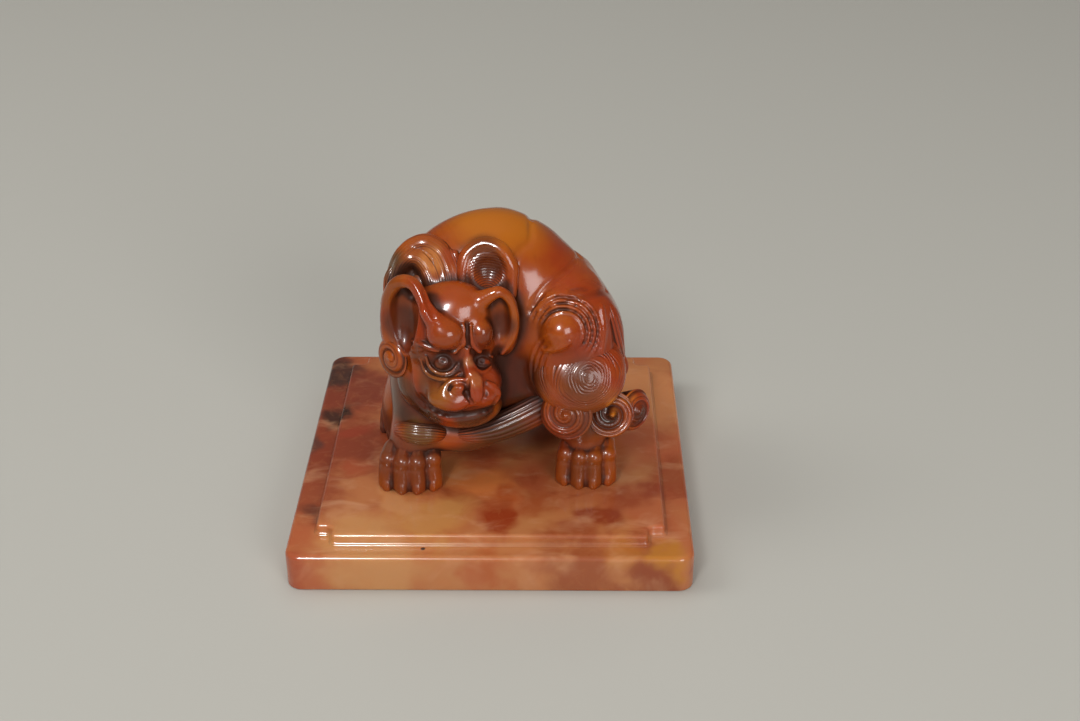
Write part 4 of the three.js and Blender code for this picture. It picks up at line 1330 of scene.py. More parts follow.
@dataclass
class Mason:
    """Hands out finished pieces: places them, names the nodes they stand for and dresses them."""

    beast: bpy.types.Material
    block: bpy.types.Material
    stone: Stone
    strands: GeometryTree
    curls: GeometryTree
    locks: GeometryTree

    def place(self, name: str, mesh: Mesh, nodes: Sequence[str], slot: str = "hair_stone",
              material: bpy.types.Material | None = None) -> None:
        """Adds a finished mesh to the scene.

        Args:
            name: Name of the piece.
            mesh: Its mesh.
            nodes: Nodes that it stands for.
            slot: Not used.
            material: Material, the beast's stone where left out.
        """
        mesh.materials.clear()
        mesh.materials.append(material or self.beast)
        piece = make_object(name, mesh)
        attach(piece, BODY)
        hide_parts(*nodes)
        LOG.info("%s: %d faces, stands for %s", name, len(mesh.polygons), ", ".join(nodes))

    def skin(self, name: str, clay: Clay, nodes: Sequence[str], slot: str) -> None:
        """Piece whose skin is that of a clay."""
        mesh = mesh_of(name, *clay.skin())
        self.stone.shade(mesh, clay)
        self.place(name, mesh, nodes, slot)

    def combed(self, name: str, clay: Clay, comb: Comb, pitch: float, depth: float,
               nodes: Sequence[str]) -> None:
        """Piece with fine strands cut into its skin.

        Args:
            name: Name of the piece.
            clay: Clay that it comes from.
            comb: Gives, for points, the place across the strands and how deep they are cut.
            pitch: Distance between strands.
            depth: Depth of the cut between them.
            nodes: Nodes that it stands for.
        """
        corners, faces = clay.skin()
        seed = mesh_of(name + "_seed", corners, faces)
        across, share = comb(corners)
        set_numbers(seed, "strand", across)
        set_numbers(seed, "combed", share)
        mesh = self.strands.grow(name, seed, {
            "Pitch": pitch, "Depth": depth, "Levels": 1, "Material": self.beast})
        self.stone.shade(mesh, clay)
        self.place(name, mesh, nodes)

    def curl(self, name: str, centre: Array, facing: Array, turn: float, values: dict[str, float],
             node: str) -> None:
        """Domed curl of hair.

        Args:
            name: Name of the piece.
            centre: Where it sits.
            facing: Outward direction.
            turn: How far its spiral is turned, in radians.
            values: Inputs of the tree.
            node: Node that it stands for.
        """
        seed = mesh_of(name + "_seed", np.zeros((3, 3)), np.array([[0, 1, 2]]))
        mesh = self.curls.grow(name, seed, {**values, "Material": self.beast})
        axes = tangent_frame(facing)
        cos, sin = math.cos(turn), math.sin(turn)
        spin = np.array([[cos, sin, 0], [-sin, cos, 0], [0, 0, 1]])
        places, _ = corners_of(mesh)
        mesh.vertices.foreach_set("co", ((places @ (spin @ axes) + centre) * MM).astype(np.float32).ravel())
        mesh.update()
        self.stone.shade(mesh)
        self.place(name, mesh, [node])

    def lock(self, node: str, path: Array, facing: Array, shape: LockShape) -> None:
        """Lock of hair along a path.

        Args:
            node: Node that it stands for.
            path: Points of its middle line.
            facing: Outward direction, one for all or one for each point.
            shape: Its section.
        """
        name = node + "_stone"
        seed = bpy.data.meshes.new(name + "_seed")
        seed.from_pydata((path * MM).tolist(), [(i, i + 1) for i in range(len(path) - 1)], [])
        spread = np.linspace(0, 1, len(path))
        for label, widths in {"wide": shape.wide, "thick": shape.thick}.items():
            set_numbers(seed, label, np.interp(spread, np.linspace(0, 1, len(widths)), widths))
        layer = seed.attributes.new("facing", "FLOAT_VECTOR", "POINT")
        layer.data.foreach_set("vector", np.broadcast_to(facing, path.shape).astype(np.float32).ravel())
        mesh = self.locks.grow(name, seed, {
            "Strands": shape.strands, "Relief": shape.relief, "Blunt": shape.blunt, "Material": self.beast})
        self.stone.shade(mesh)
        self.place(name, mesh, [node])


def fillet_ring(corners: Array, radii: Sequence[float], z: float, steps: int = 6) -> Array:
    """Closed outline with square corners rounded off, at a height."""
    rows = []
    for i, (corner, radius) in enumerate(zip(corners, radii)):
        before = unit(corners[i - 1] - corner)
        after = unit(corners[(i + 1) % len(corners)] - corner)
        for turn in np.linspace(0, math.pi / 2, steps + 1):
            rows.append(corner + radius * (before * (1 - math.sin(turn)) + after * (1 - math.cos(turn))))
    flat = np.array(rows)
    return np.column_stack([flat, np.full(len(flat), z)])


def loft(name: str, rings: Sequence[Array]) -> Mesh:
    """Closed skin over rings of equal count, with a fan over the first and the last ring."""
    count = len(rings[0])
    corners = np.vstack([*rings, rings[0].mean(0), rings[-1].mean(0)])
    around = np.arange(count)
    following = (around + 1) % count
    faces = []
    for ring in range(len(rings) - 1):
        a, b = ring * count + around, ring * count + following
        faces += [np.column_stack([a, b, b + count]), np.column_stack([a, b + count, a + count])]
    last = (len(rings) - 1) * count
    first_centre, last_centre = len(corners) - 2, len(corners) - 1
    faces.append(np.column_stack([np.full(count, first_centre), following, around]))
    faces.append(np.column_stack([np.full(count, last_centre), last + around, last + following]))
    return outward(mesh_of(name, corners, np.vstack(faces)))


@dataclass
class SealBlock:
    """Square plinth with the stamping face under it and the table with stepped-in corners on it."""

    corner_radius: float = 3.6
    edge_round: float = 1.2
    border: float = 4.0
    relief: float = 1.2
    foot_round: float = 0.4
    notch: float = 3.8
    table_round: float = 0.8
    fret_count: int = 2
    fret_line: float = 3.0
    fret_space: float = 3.0

    def square(self, half: float, radius: float, z: float) -> Array:
        """Square ring with rounded corners."""
        corners = half * np.array([[1, 1], [-1, 1], [-1, -1], [1, -1]], dtype=float)
        return fillet_ring(corners, [radius] * 4, z, 10)

    def plinth(self) -> Mesh:
        """Plinth with rounded edges, raised border and sunk ground below."""
        _, high = node_box("seal_plinth")
        half, top = high[0], high[2]
        inner = half - self.border
        rings = [self.square(inner - 2.0, 0.8, self.relief), self.square(inner - 0.1, 0.8, self.relief),
                 self.square(inner, 0.8, self.relief - 0.1), self.square(inner, 0.8, 0.1),
                 self.square(inner + 0.1, 0.9, 0.0)]
        for round_to, sign, edge in ((self.foot_round, 0, 0.0), (self.edge_round, 1, top)):
            turns = np.linspace(0, math.pi / 2, 7)
            for turn in turns if sign else turns[::-1]:
                inset = round_to * (1 - math.cos(turn))
                lift = round_to * (1 - math.sin(turn))
                z = edge - lift if sign else edge + lift
                rings.append(self.square(half - inset, self.corner_radius - inset, z))
        rings += [self.square(half - self.edge_round - 0.3, self.corner_radius - 1.3, top),
                  self.square(half - 12.0, 2.0, top)]
        return loft("seal_plinth_stone", rings)

    def table(self) -> Mesh:
        """Table whose corners step in, with rounded edges and a small hollow at its foot."""
        low, high = node_box("seal_table")
        step = self.notch

        def ring(inset: float, z: float) -> Array:
            """Notched outline drawn in from the edge."""
            a, b = high[0] - inset, high[1] - inset
            quarter = [(a, b - step), (a - step, b - step), (a - step, b)]
            corners, radii = [], []
            for sx, sy in ((1, 1), (-1, 1), (-1, -1), (1, -1)):
                placed = [(sx * x, sy * y) for x, y in (quarter if sx * sy > 0 else quarter[::-1])]
                corners += placed
                outer = max(0.9 - inset, 0.08)
                radii += [outer, min(1.6 + inset, 3.4), outer]
            return fillet_ring(np.array(corners), radii, z, 6)

        rings = [ring(3.0, low[2] - 0.4), ring(-0.7, low[2] - 0.4), ring(-0.7, low[2] + 0.02),
                 ring(-0.4, low[2] + 0.14), ring(-0.15, low[2] + 0.4), ring(0.0, low[2] + 0.8)]
        for turn in np.linspace(0, math.pi / 2, 6):
            inset = self.table_round * (1 - math.cos(turn))
            rings.append(ring(inset, high[2] - self.table_round * (1 - math.sin(turn))))
        rings += [ring(self.table_round + 0.25, high[2]), ring(3.0, high[2])]
        return loft("seal_table_stone", rings)

    def cell(self) -> float:
        """Side of one cell of the fret."""
        return 2 * (node_box("seal_plinth")[1][0] - self.border) / self.fret_count

    def spiral(self) -> Mesh:
        """One square spiral of the fret as a raised band, centred on its cell."""
        cell = self.cell() - self.fret_space
        pitch = self.fret_line + self.fret_space
        line, way, length, arm = [vec(0, 0)], vec(1, 0), cell - self.fret_line, 1
        while length > self.fret_space:
            line.append(line[-1] + way * length)
            way = vec(-way[1], way[0])
            if arm > 2 and arm % 2:
                length -= pitch
            arm += 1
        ways = [unit(b - a) for a, b in zip(line[:-1], line[1:])]
        sides = {1: [], -1: []}
        for i, spot in enumerate(line):
            arrive = ways[i - 1] if i > 0 else vec(0, 0)
            leave = ways[i] if i < len(ways) else vec(0, 0)
            along = arrive + leave
            for hand, kept in sides.items():
                kept.append(spot + hand * self.fret_line / 2 * vec(-along[1], along[0]))
        middle = (cell - self.fret_line) / 2
        outline = np.array(sides[1] + sides[-1][::-1]) - middle
        count, arms = len(outline), len(line)
        rings = [np.column_stack([outline, np.full(count, z)]) for z in (0.0, self.relief + 0.3)]
        quads = [[i, i + 1, count - 2 - i, count - 1 - i] for i in range(arms - 1)]
        top = [[corner + count for corner in quad[::-1]] for quad in quads]
        walls = [[i, (i + 1) % count, (i + 1) % count + count, i + count] for i in range(count)]
        mesh = mesh_of("fret_spiral", np.vstack(rings), np.array(quads + top + walls))
        mesh.shade_flat()
        return outward(mesh)

    def fret_tree(self) -> GeometryTree:
        """Sets the spiral on a square of points, each turned half round against the next."""
        tree = GeometryTree("fret_of_spirals", Count=2, Cell=0.041)
        span = tree.given("Cell") * (tree.given("Count") - 1.0)
        points = tree.node("GeometryNodeMeshGrid", {}, {
            "Size X": span, "Size Y": span, "Vertices X": tree.given("Count"),
            "Vertices Y": tree.given("Count")})
        number = tree.out(tree.node("GeometryNodeInputIndex"))
        row = (number / tree.given("Count")).math("FLOOR")
        odd = (number + row * (tree.given("Count") + 1.0)).math("MODULO", 2.0)
        turned = tree.node("ShaderNodeCombineXYZ", {}, {2: odd * math.pi})
        placed = tree.node("GeometryNodeInstanceOnPoints", {}, {
            "Points": tree.out(points, "Mesh"), "Instance": tree.given("Geometry"),
            "Rotation": tree.out(turned)})
        tree.end(tree.out(placed), smooth=False)
        return tree

    def build(self, mason: Mason) -> None:
        """Places plinth, fret and table."""
        mason.place("plinth", self.plinth(), ["seal_plinth"], "plinth_stone", mason.block)
        fret = self.fret_tree().grow("fret", self.spiral(), {
            "Count": self.fret_count, "Cell": self.cell() * MM, "Material": mason.block})
        mason.place("stamping_fret", fret, ["seal_plinth"], "plinth_stone", mason.block)
        mason.place("table", self.table(), ["seal_table"], "plinth_stone", mason.block)


def along_foreleg(points: Array, side: Side, out: float) -> Array:
    """Points of the near forearm, or the same on the far side, where the leg runs inwards to its paw.

    Args:
        points: Points on the near side.
        side: Side that is wanted.
        out: How far outside the far forearm's middle the points lie.

    Returns:
        The points on that side.
    """
    if side is Side.NEAR:
        return points
    elbow_x, elbow_y, lean, drop = 10.0, 12.0, 0.32, 1.5
    ahead = np.minimum(points[:, 0] - elbow_x, 0.0)
    return np.column_stack([points[:, 0], elbow_y + out + lean * ahead, points[:, 2] - drop])


@dataclass
class Body:
    """Trunk with the creases of the back, chest, haunches and the limbs down to the paws.

    The masses are chest, neck, haunches and belly, each a centre, half sizes and a blend.
    """

    back: Back = field(default_factory=Back)
    pitch: float = 0.386
    legs: tuple[tuple[tuple[Point, ...], tuple[float, ...]], ...] = (
        (((18.5, -9.5, 36), (20.5, -12, 28), (21.2, -13.6, 20), (21.2, -14.5, 14)), (10, 7.4, 5.6, 5.4)),
        (((16, 9.5, 32), (18.5, 12, 26), (21, 13.6, 19), (21.2, 14.5, 14)), (10, 7.4, 5.6, 5.4)),
        (((-13.5, -8.5, 34), (-15.5, -12.5, 27), (-18.2, -15.2, 20), (-19, -16, 14)), (8, 7, 5.8, 5.4)),
        (((-14, -1, 34), (-18.5, 1.5, 27), (-21.5, 3, 20), (-22, 3.4, 14)), (8, 6.8, 5.8, 5.4)),
    )
    masses: tuple[tuple[Point, Point, float], ...] = (
        ((-14, -6.5, 32.3), (9.6, 12, 14), 4),
        ((-15.2, -8.6, 50), (6.6, 6.4, 12), 3),
        ((17.6, -9.6, 44.6), (11.4, 9.6, 14.2), 4),
        ((14.6, 9, 38), (12, 10, 14.5), 4),
        ((4, -4.5, 31), (19, 10.5, 8.6), 4),
        ((4, 3.5, 31), (17, 9.5, 8), 4),
    )
    forearm: tuple[Point, ...] = ((415, 432, -15.6), (440, 433, -15.8), (466, 434, -15.4), (486, 428, -14))
    creases: tuple[Stroke, ...] = (
        Stroke(((531, 223), (530, 240), (521, 249), (514, 262), (512, 280), (513, 300), (516, 314)),
               (0.5, 0.55, 0.55, 0.7), -1.2, 1.2),
        Stroke(((580, 256), (575, 262), (560, 275), (545, 287), (536, 299), (530, 311)),
               (0.45, 0.5, 0.5), -1, 1.2),
        Stroke(((611, 289), (600, 293), (585, 296), (568, 299)), (0.45, 0.5, 0.4), -0.8, 1.2),
        Stroke(((563, 283), (553, 287), (543, 294), (534, 306)), (0.3, 0.4, 0.3), -0.4, 1.4),
        Stroke(((566, 291), (556, 294), (546, 300), (538, 309)), (0.45, 0.5, 0.4), 0.4),
        Stroke(((586, 289), (570, 291), (555, 298), (541, 309)), (0.3, 0.4, 0.3), -0.4, 1.4),
    )
    pillows: tuple[Stroke, ...] = (
        Stroke(((500, 234), (499, 246), (500, 262)), (3, 3.4, 3), 0.4),
        Stroke(((550, 250), (543, 262), (536, 274), (529, 290), (525, 304)), (4, 4.4, 3.8, 2.6), 0.5),
        Stroke(((592, 276), (580, 280), (566, 288), (552, 300)), (3, 3, 2.2), 0.6),
        Stroke(((618, 316), (611, 307), (598, 303), (584, 305)), (2.6, 3, 2.2), 0.4),
    )
    haunch_lines: tuple[Stroke, ...] = (
        Stroke(((544, 350), (553, 350), (562, 347), (570, 342)), (0.4, 0.6, 0.4), 0.7),
        Stroke(((602, 306), (604, 330), (602, 352)), (0.4, 0.8, 0.4), 0.5),
        Stroke(((612, 322), (615, 338), (614, 354)), (0.4, 0.7, 0.4), -0.5, 1.4),
    )

    def sculpt(self) -> Clay:
        """Blocks the body out and cuts its lines."""
        clay = Clay((-31, -24, 9), (36, 24, 74), self.pitch)
        clay.add(self.back)
        for centre, radii, blend in self.masses:
            clay.ball(centre, radii, blend)
        for leg, radii in self.legs:
            clay.add(Limb(leg, radii), 3)
        forearm = PHOTO.points(*self.forearm)
        for side in Side:
            clay.add(Limb(along_foreleg(forearm, side, 0), (4.6, 4, 4, 4)), 1.6)
        boss = clay.spot((560, 333), 2.6)
        clay.ball(boss, (4.5, 4.3, 4.4), 1.4)
        clay.ball(boss * vec(1, -1, 1) + vec(-3, -1.5, -6.5), (4.5, 4.3, 4.4), 1.4)
        hock = clay.spot((582, 379), 5.2)
        towards = tangent_frame(-PHOTO.ray((588, 377)))
        clay.add(Ball(hock, (9.6, 8.8, 5.2), towards), 3)
        clay.add(Ball(hock * vec(1, -1, 1) + vec(-4, 0, -4), (9.6, 8.8, 5.2), towards * vec(1, -1, 1)), 3)
        draw(clay, (*self.pillows, *self.creases, *self.haunch_lines), self.back.centre[1])
        clay.ripple((563, 334), (4.9, 9), 1.3, 0.26, (-45, 165))
        clay.ripple((588, 377), (9.6, 13.6), 1.3, 0.15, (125, 250))
        return clay

    def build(self, mason: Mason, clay: Clay) -> None:
        """Places the body's skin."""
        parts = ("thigh", "thigh_swirl", "shank", "foreleg")
        limbs = [f"{part}_{side.word}" for part in parts for side in Side]
        mason.skin("body", clay, ["trunk", "chest", *limbs], "body_stone")


@dataclass
class Paw:
    """Paw with four long toes over raised knuckles.

    Args:
        node: Its node.
        x: Place of its middle along the front.
        y: Place of its middle from front to back.
        heading: Degrees that it is turned towards the right, seen from above.
    """

    node: str
    x: float
    y: float
    heading: float
    width: float = 14.6
    reach: float = 7.2
    height: float = 10.2
    floor: float = TABLE_TOP
    pitch: float = 0.3
    toes: int = 4

    def point(self, side: float, ahead: float, up: float) -> Array:
        """Place of the paw's own right, front and up."""
        turn = math.radians(self.heading)
        right, front = vec(math.cos(turn), math.sin(turn), 0), vec(math.sin(turn), -math.cos(turn), 0)
        return vec(self.x, self.y, self.floor) + side * right + ahead * front + vec(0, 0, up)

    def sculpt(self) -> Clay:
        """Blocks out palm and toes and grooves the knuckles."""
        reach = self.width
        clay = Clay((self.x - reach, self.y - reach, self.floor - 1.5), (self.x + reach, self.y + reach, 24),
                    self.pitch)
        clay.ball(self.point(0, -1.2, 4), (self.width * 0.46, self.width * 0.46, 5.6))
        clay.add(Limb((self.point(0, -2, 5), self.point(0.4, -3.4, 9.5), self.point(0.8, -4.4, 12)),
                      (self.width * 0.38, self.width * 0.34, self.width * 0.3)), 1.6)
        spacing = self.width * 0.94 / self.toes
        for toe in range(self.toes):
            side = (toe - (self.toes - 1) / 2) * spacing
            tip = self.reach * (1.0 - 0.85 * abs(side) / self.width)
            path = (self.point(side * 0.7 + 1, tip - 7.6, self.height - 2.4),
                    self.point(side * 0.86 + 0.4, tip - 4.6, self.height - 2),
                    self.point(side * 0.96, tip - 2.4, self.height - 4.6),
                    self.point(side * 1.02, tip - 1.9, 3.6),
                    self.point(side * 1.02, tip - 1.7, 1.2))
            clay.add(Limb(path, (1.8, 2.2, 2.15, 2, 2.15), step=0.8), 0.8)
            clay.ball(self.point(side * 0.96 + 0.2, tip - 2.4, self.height - 3.1), (2.1, 2.2, 2.1), 0.5)
            for ridge in (-0.62, 0.62):
                line = np.array([self.point(side * 0.78 + ridge + 1, tip - 6.8, self.height),
                                 self.point(side * 0.88 + ridge + 0.5, tip - 4.8, self.height + 0.2),
                                 self.point(side * 0.96 + ridge * 0.8, tip - 2.6, self.height - 1.2)])
                clay.trace(clay.settle(through(line)), vec(0.25, 0.36, 0.25), 0.34)
            clay.ball(self.point(side * 1.02, tip + 0.1, 1), (0.95, 0.8, 1.5), 0.6)
        clay.cut(Ball((self.x, self.y, self.floor - 30.3), (60, 60, 30)), 0.1)
        return clay

    def build(self, mason: Mason, clay: Clay) -> None:
        """Places the paw's skin."""
        mason.skin(self.node + "_stone", clay, [self.node], "leg_stone")


PAWS = (
    Paw("forepaw_near", -18.9, -17.2, 0.0),
    Paw("forepaw_far", -21.0, 3.6, -35.0, width=13.0, reach=6.0),
    Paw("hind_paw_near", 21.4, -14.8, 0.0, width=13.8),
    Paw("hind_paw_far", 21.4, 14.8, 180.0, width=13.8),
)


@dataclass(frozen=True)
class Ear:
    """Shell with a thin rolled rim round a wide hollow, drawn over the photograph.

    Args:
        shell: Pixel, y and half sizes of the shell.
        hollow: Pixel, y and half sizes of the hollow.
        rim: Pixels and y of the rim.
        thick: Half thickness at evenly spaced places of the rim.
        root: Pixels and sinks of spots on the head at which the rim starts.
    """

    shell: tuple[Pixel, float, Point]
    hollow: tuple[Pixel, float, Point]
    rim: tuple[Point, ...]
    thick: tuple[float, ...]
    root: tuple[Point, ...] = ()


@dataclass
class Head:
    """Face turned to the viewer: skull, muzzle, jaw, brows, eyes, nose and rolled ears.

    An eye is a pixel, a sink and a radius, a lid the pixels of a fold and its half thickness.
    """

    pitch: float = 0.25
    skull: Ball = field(default_factory=lambda: Ball((-9.8, -13.3, 49), (12.4, 11, 10.8)))
    muzzle: Ball = field(default_factory=lambda: Ball((-6.4, -19.6, 38.7), (8.8, 8, 6.4)))
    jaw: Ball = field(default_factory=lambda: Ball((-6.8, -17.6, 32), (9.2, 7.6, 5)))
    eyes: tuple[tuple[Pixel, float, float], ...] = (((443, 362), 1.5, 2.7), ((482, 362), 1.1, 2))
    lids: tuple[tuple[Pixels, float], ...] = (
        (((426, 356), (429, 365), (436, 372), (444, 374.5), (452, 372), (458, 364)), 0.5),
        (((421, 359), (425, 369), (432, 376), (442, 379.5), (452, 378.5), (460, 373)), 0.55),
        (((472, 363), (477, 370.5), (484, 372), (491, 366)), 0.42),
    )
    ears: tuple[Ear, ...] = (
        Ear(((401, 320), -14.4, (4.6, 3, 10.2)), ((401, 320), -19.9, (3.8, 4.2, 8.2)),
            ((390, 350, -15.4), (386, 335, -15.4), (385, 316, -15.6), (388, 298, -16.2), (395, 285, -17.2),
             (404, 281, -18.4), (413, 284, -19.6), (420, 294, -21), (425, 306, -22.4), (431, 316, -23.4),
             (439, 326, -23.4)),
            (0.7, 0.7, 0.8, 1, 1.3, 1.5, 1.5, 1.4, 1.4, 1.5, 1.6)),
        Ear(((502, 322), -15.8, (4, 2.8, 8.4)), ((501, 325), -20.4, (2.9, 3.4, 6.8)),
            ((492, 294, -18.6), (500, 292, -18.4), (508, 298, -18), (514, 311, -17.5), (515, 327, -17.2),
             (510, 342, -17.4), (502, 353, -18)),
            (2.4, 2.2, 1.5, 1.1, 0.9, 0.8, 0.8, 0.7, 0.5), ((470, 306, 2.8), (481, 300, 1.5))),
    )
    lines: tuple[Stroke, ...] = (
        Stroke(((424, 290), (428, 302), (432, 312), (434, 318)), (0.3, 0.5, 0.8, 0.5), -1),
        Stroke(((467, 323), (467, 334), (467, 346)), (0.35, 0.45, 0.3), -0.7),
        Stroke(((424, 353), (434, 357), (446, 359), (456, 357), (462, 350)), (0.6, 0.9, 0.7), -1),
        Stroke(((430, 358), (433, 366), (440, 371), (448, 370), (454, 362)), (0.4, 0.6, 0.4), -0.6),
        Stroke(((472, 351), (480, 358), (490, 360)), (0.5, 0.7, 0.5), -0.6),
        Stroke(((407, 356), (408, 374), (410, 388), (416, 398), (424, 405)), (0.6, 0.9, 0.9, 0.6), -0.8),
    )
    mouth_lines: tuple[Stroke, ...] = (
        Stroke(((422, 396), (428, 403), (436, 408.5), (447, 412.5), (460, 412), (471, 408.5), (483, 407.5),
                (492, 405), (498, 398)), (0.3, 0.45, 0.45, 0.3), -0.9, 1.4),
        Stroke(((438, 424), (454, 428), (472, 427), (487, 420)), (0.4, 0.5, 0.4), -0.6, 1.4),
        Stroke(((470, 376), (468, 386), (468, 396), (472, 403)), (0.3, 0.45, 0.4), -0.5),
        Stroke(((484, 382), (485, 392), (483, 401)), (0.3, 0.45, 0.3), -0.5),
    )

    def sculpt(self) -> Clay:
        """Blocks the head out, sets the features on it and cuts its lines."""
        clay = Clay((-28, -34, 23), (10, 0, 66), self.pitch)
        clay.add(self.skull).add(self.muzzle, 3.4).add(self.jaw, 1.6)
        clay.ball(PHOTO.at_depth((427, 379), -16.4), (6.6, 4.8, 8), 3)
        clay.boss((458, 302), 3.8, (7.6, 5.6, 6.6), 3)
        self.add_ears(clay)
        self.add_brows(clay)
        draw(clay, self.lines)
        self.add_eyes(clay)
        self.add_nose(clay)
        self.add_mouth(clay)
        for pixel in ((413, 350), (420, 350)):
            clay.boss(pixel, 0.45, (0.8, 0.8, 0.8), 0.3)
        return clay

    def add_eyes(self, clay: Clay) -> None:
        """Adds the eyeballs with a ringed pupil and the folded lids below them."""
        for (u, v), _, radius in self.eyes:
            clay.pit((u, v - 1.5), -0.8, (1.5 * radius, 1.7, radius), 0.9)
        for pixel, sink, radius in self.eyes:
            clay.boss(pixel, sink, (radius, radius, radius), 0.2)
        for lid, thick in self.lids:
            clay.tube(lid, (thick * 0.5, thick, thick, thick * 0.5), -0.15, 0.25)
        for (u, v), _, radius in self.eyes:
            ring = [(u + 1.7 * radius * math.cos(turn), v - 1.0 + 1.5 * radius * math.sin(turn))
                    for turn in np.linspace(0, 2 * math.pi, 13)]
            clay.trace(clay.line(ring, 0.4, even=0), vec(0.22, 0.22), 0.16)
            clay.pit((u, v - 1), -0.25, (0.5, 0.5, 0.5), 0.2)

    def add_brows(self, clay: Clay) -> None:
        """Adds the bosses of the brows and the rims that hang under them."""
        left = clay.spots((426, 312, 0.9), (431, 322, 1.3), (438, 332, 1.7), (446, 339, 2), (453, 341, 2.3))
        right = clay.spots((480, 326, 1.5), (484, 333, 1.5), (487, 341, 1.8))
        clay.add(Limb(left, (1.5, 1.9, 2.7, 3.2, 3), step=1.0), 1.2)
        clay.boss((447, 338), 1.6, (3.9, 3, 3.3), 1)
        clay.add(Limb(right, (1.8, 2.5, 2.3), step=1.0), 1.2)
        clay.boss((485, 336), 1.5, (2.4, 2.6, 3.1), 0.8)
        clay.tube(((413, 341), (420, 343), (431, 347.5), (443, 352.5), (454, 352.5), (461.5, 346),
                   (464, 336), (463, 325)), (0.4, 0.7, 0.8, 0.8, 0.7, 0.45), -0.1, 0.35)
        clay.tube(((470, 325), (470.5, 335), (474, 346), (482, 354), (491, 357)),
                  (0.45, 0.65, 0.75, 0.5), -0.1, 0.35)

    def add_nose(self, clay: Clay) -> None:
        """Adds bridge, tip, wings and nostrils."""
        bridge = PHOTO.points((466, 346, -21.6), (467, 360, -22.8), (470, 372, -24.2), (474, 384, -25.6),
                              (476, 394, -26))
        clay.add(Limb(bridge, (0.6, 0.8, 1.3, 2, 2.3), step=0.8), 1.2)
        clay.ball(PHOTO.at_depth((456, 392), -23.3), (3, 2.6, 2.8), 1)
        clay.ball(PHOTO.at_depth((488, 392), -23), (2.2, 2.4, 2.6), 1.2)
        draw(clay, [Stroke(((467, 350), (467, 363), (470, 374), (474, 386)), (0.5, 0.8, 0.6), 0.6)])
        clay.boss((458, 387), 0.3, (1.7, 1.5, 1.5), 0.4)
        clay.tube(((465, 380), (455, 380.5), (447, 385.5), (444.5, 393), (449, 400.5), (458, 404),
                   (467, 401)), (0.5, 0.8, 0.9, 0.85, 0.55), -0.1, 0.3)
        clay.tube(((487, 383), (494, 387), (497.5, 394), (494, 402)), (0.5, 0.75, 0.75, 0.5), -0.1, 0.3)
        draw(clay, [Stroke(((462, 383.5), (453, 385), (449.5, 391), (453, 397), (461, 399.5)),
                           (0.3, 0.4, 0.35), -0.5)])
        clay.pit((465, 393.5), 0.1, (0.8, 1.4, 0.9), 0.3)
        clay.pit((487, 394), 0.1, (0.7, 1.3, 0.8), 0.3)

    def add_mouth(self, clay: Clay) -> None:
        """Adds the lips, cuts the mouth between them and sets small teeth along it."""
        clay.boss((448, 402), 2.6, (4.6, 3.2, 2.6), 2)
        clay.boss((488, 401), 2.4, (3, 3.4, 2.8), 1.2)
        clay.tube(((436, 415), (448, 418), (458, 418.5), (470, 417.5), (482, 414.5), (491, 410)),
                  (0.5, 1, 1.3, 1.1, 0.4), 0.5, 1)
        draw(clay, self.mouth_lines)
        for pixel in ((431, 411), (438, 415.5), (446, 418.5), (486, 413)):
            clay.boss(pixel, 0.5, (0.8, 0.8, 0.8), 0.5)

    def add_ears(self, clay: Clay) -> None:
        """Adds both ears and the ridge along the left one's rim."""
        roots = [clay.spots(*ear.root) for ear in self.ears]
        for ear, root in zip(self.ears, roots):
            clay.ball(PHOTO.at_depth(*ear.shell[:2]), ear.shell[2], 1.2)
            clay.cut(Ball(PHOTO.at_depth(*ear.hollow[:2]), ear.hollow[2]), 0.8)
            clay.add(Limb(np.vstack([root, PHOTO.points(*ear.rim)]), ear.thick, step=0.8), 0.9)
        draw(clay, [Stroke(((409, 279), (416, 287), (421, 298), (425, 309), (429, 318)),
                           (0.3, 0.45, 0.3), 0.4)])

    def build(self, mason: Mason, clay: Clay) -> None:
        """Places the head's skin."""
        pairs = [f"{part}_{hand}" for part in ("brow", "eye", "ear") for hand in ("left", "right")]
        mason.skin("head_stone", clay, ["head", "muzzle", "lower_jaw", "nose", *pairs], "face_stone")


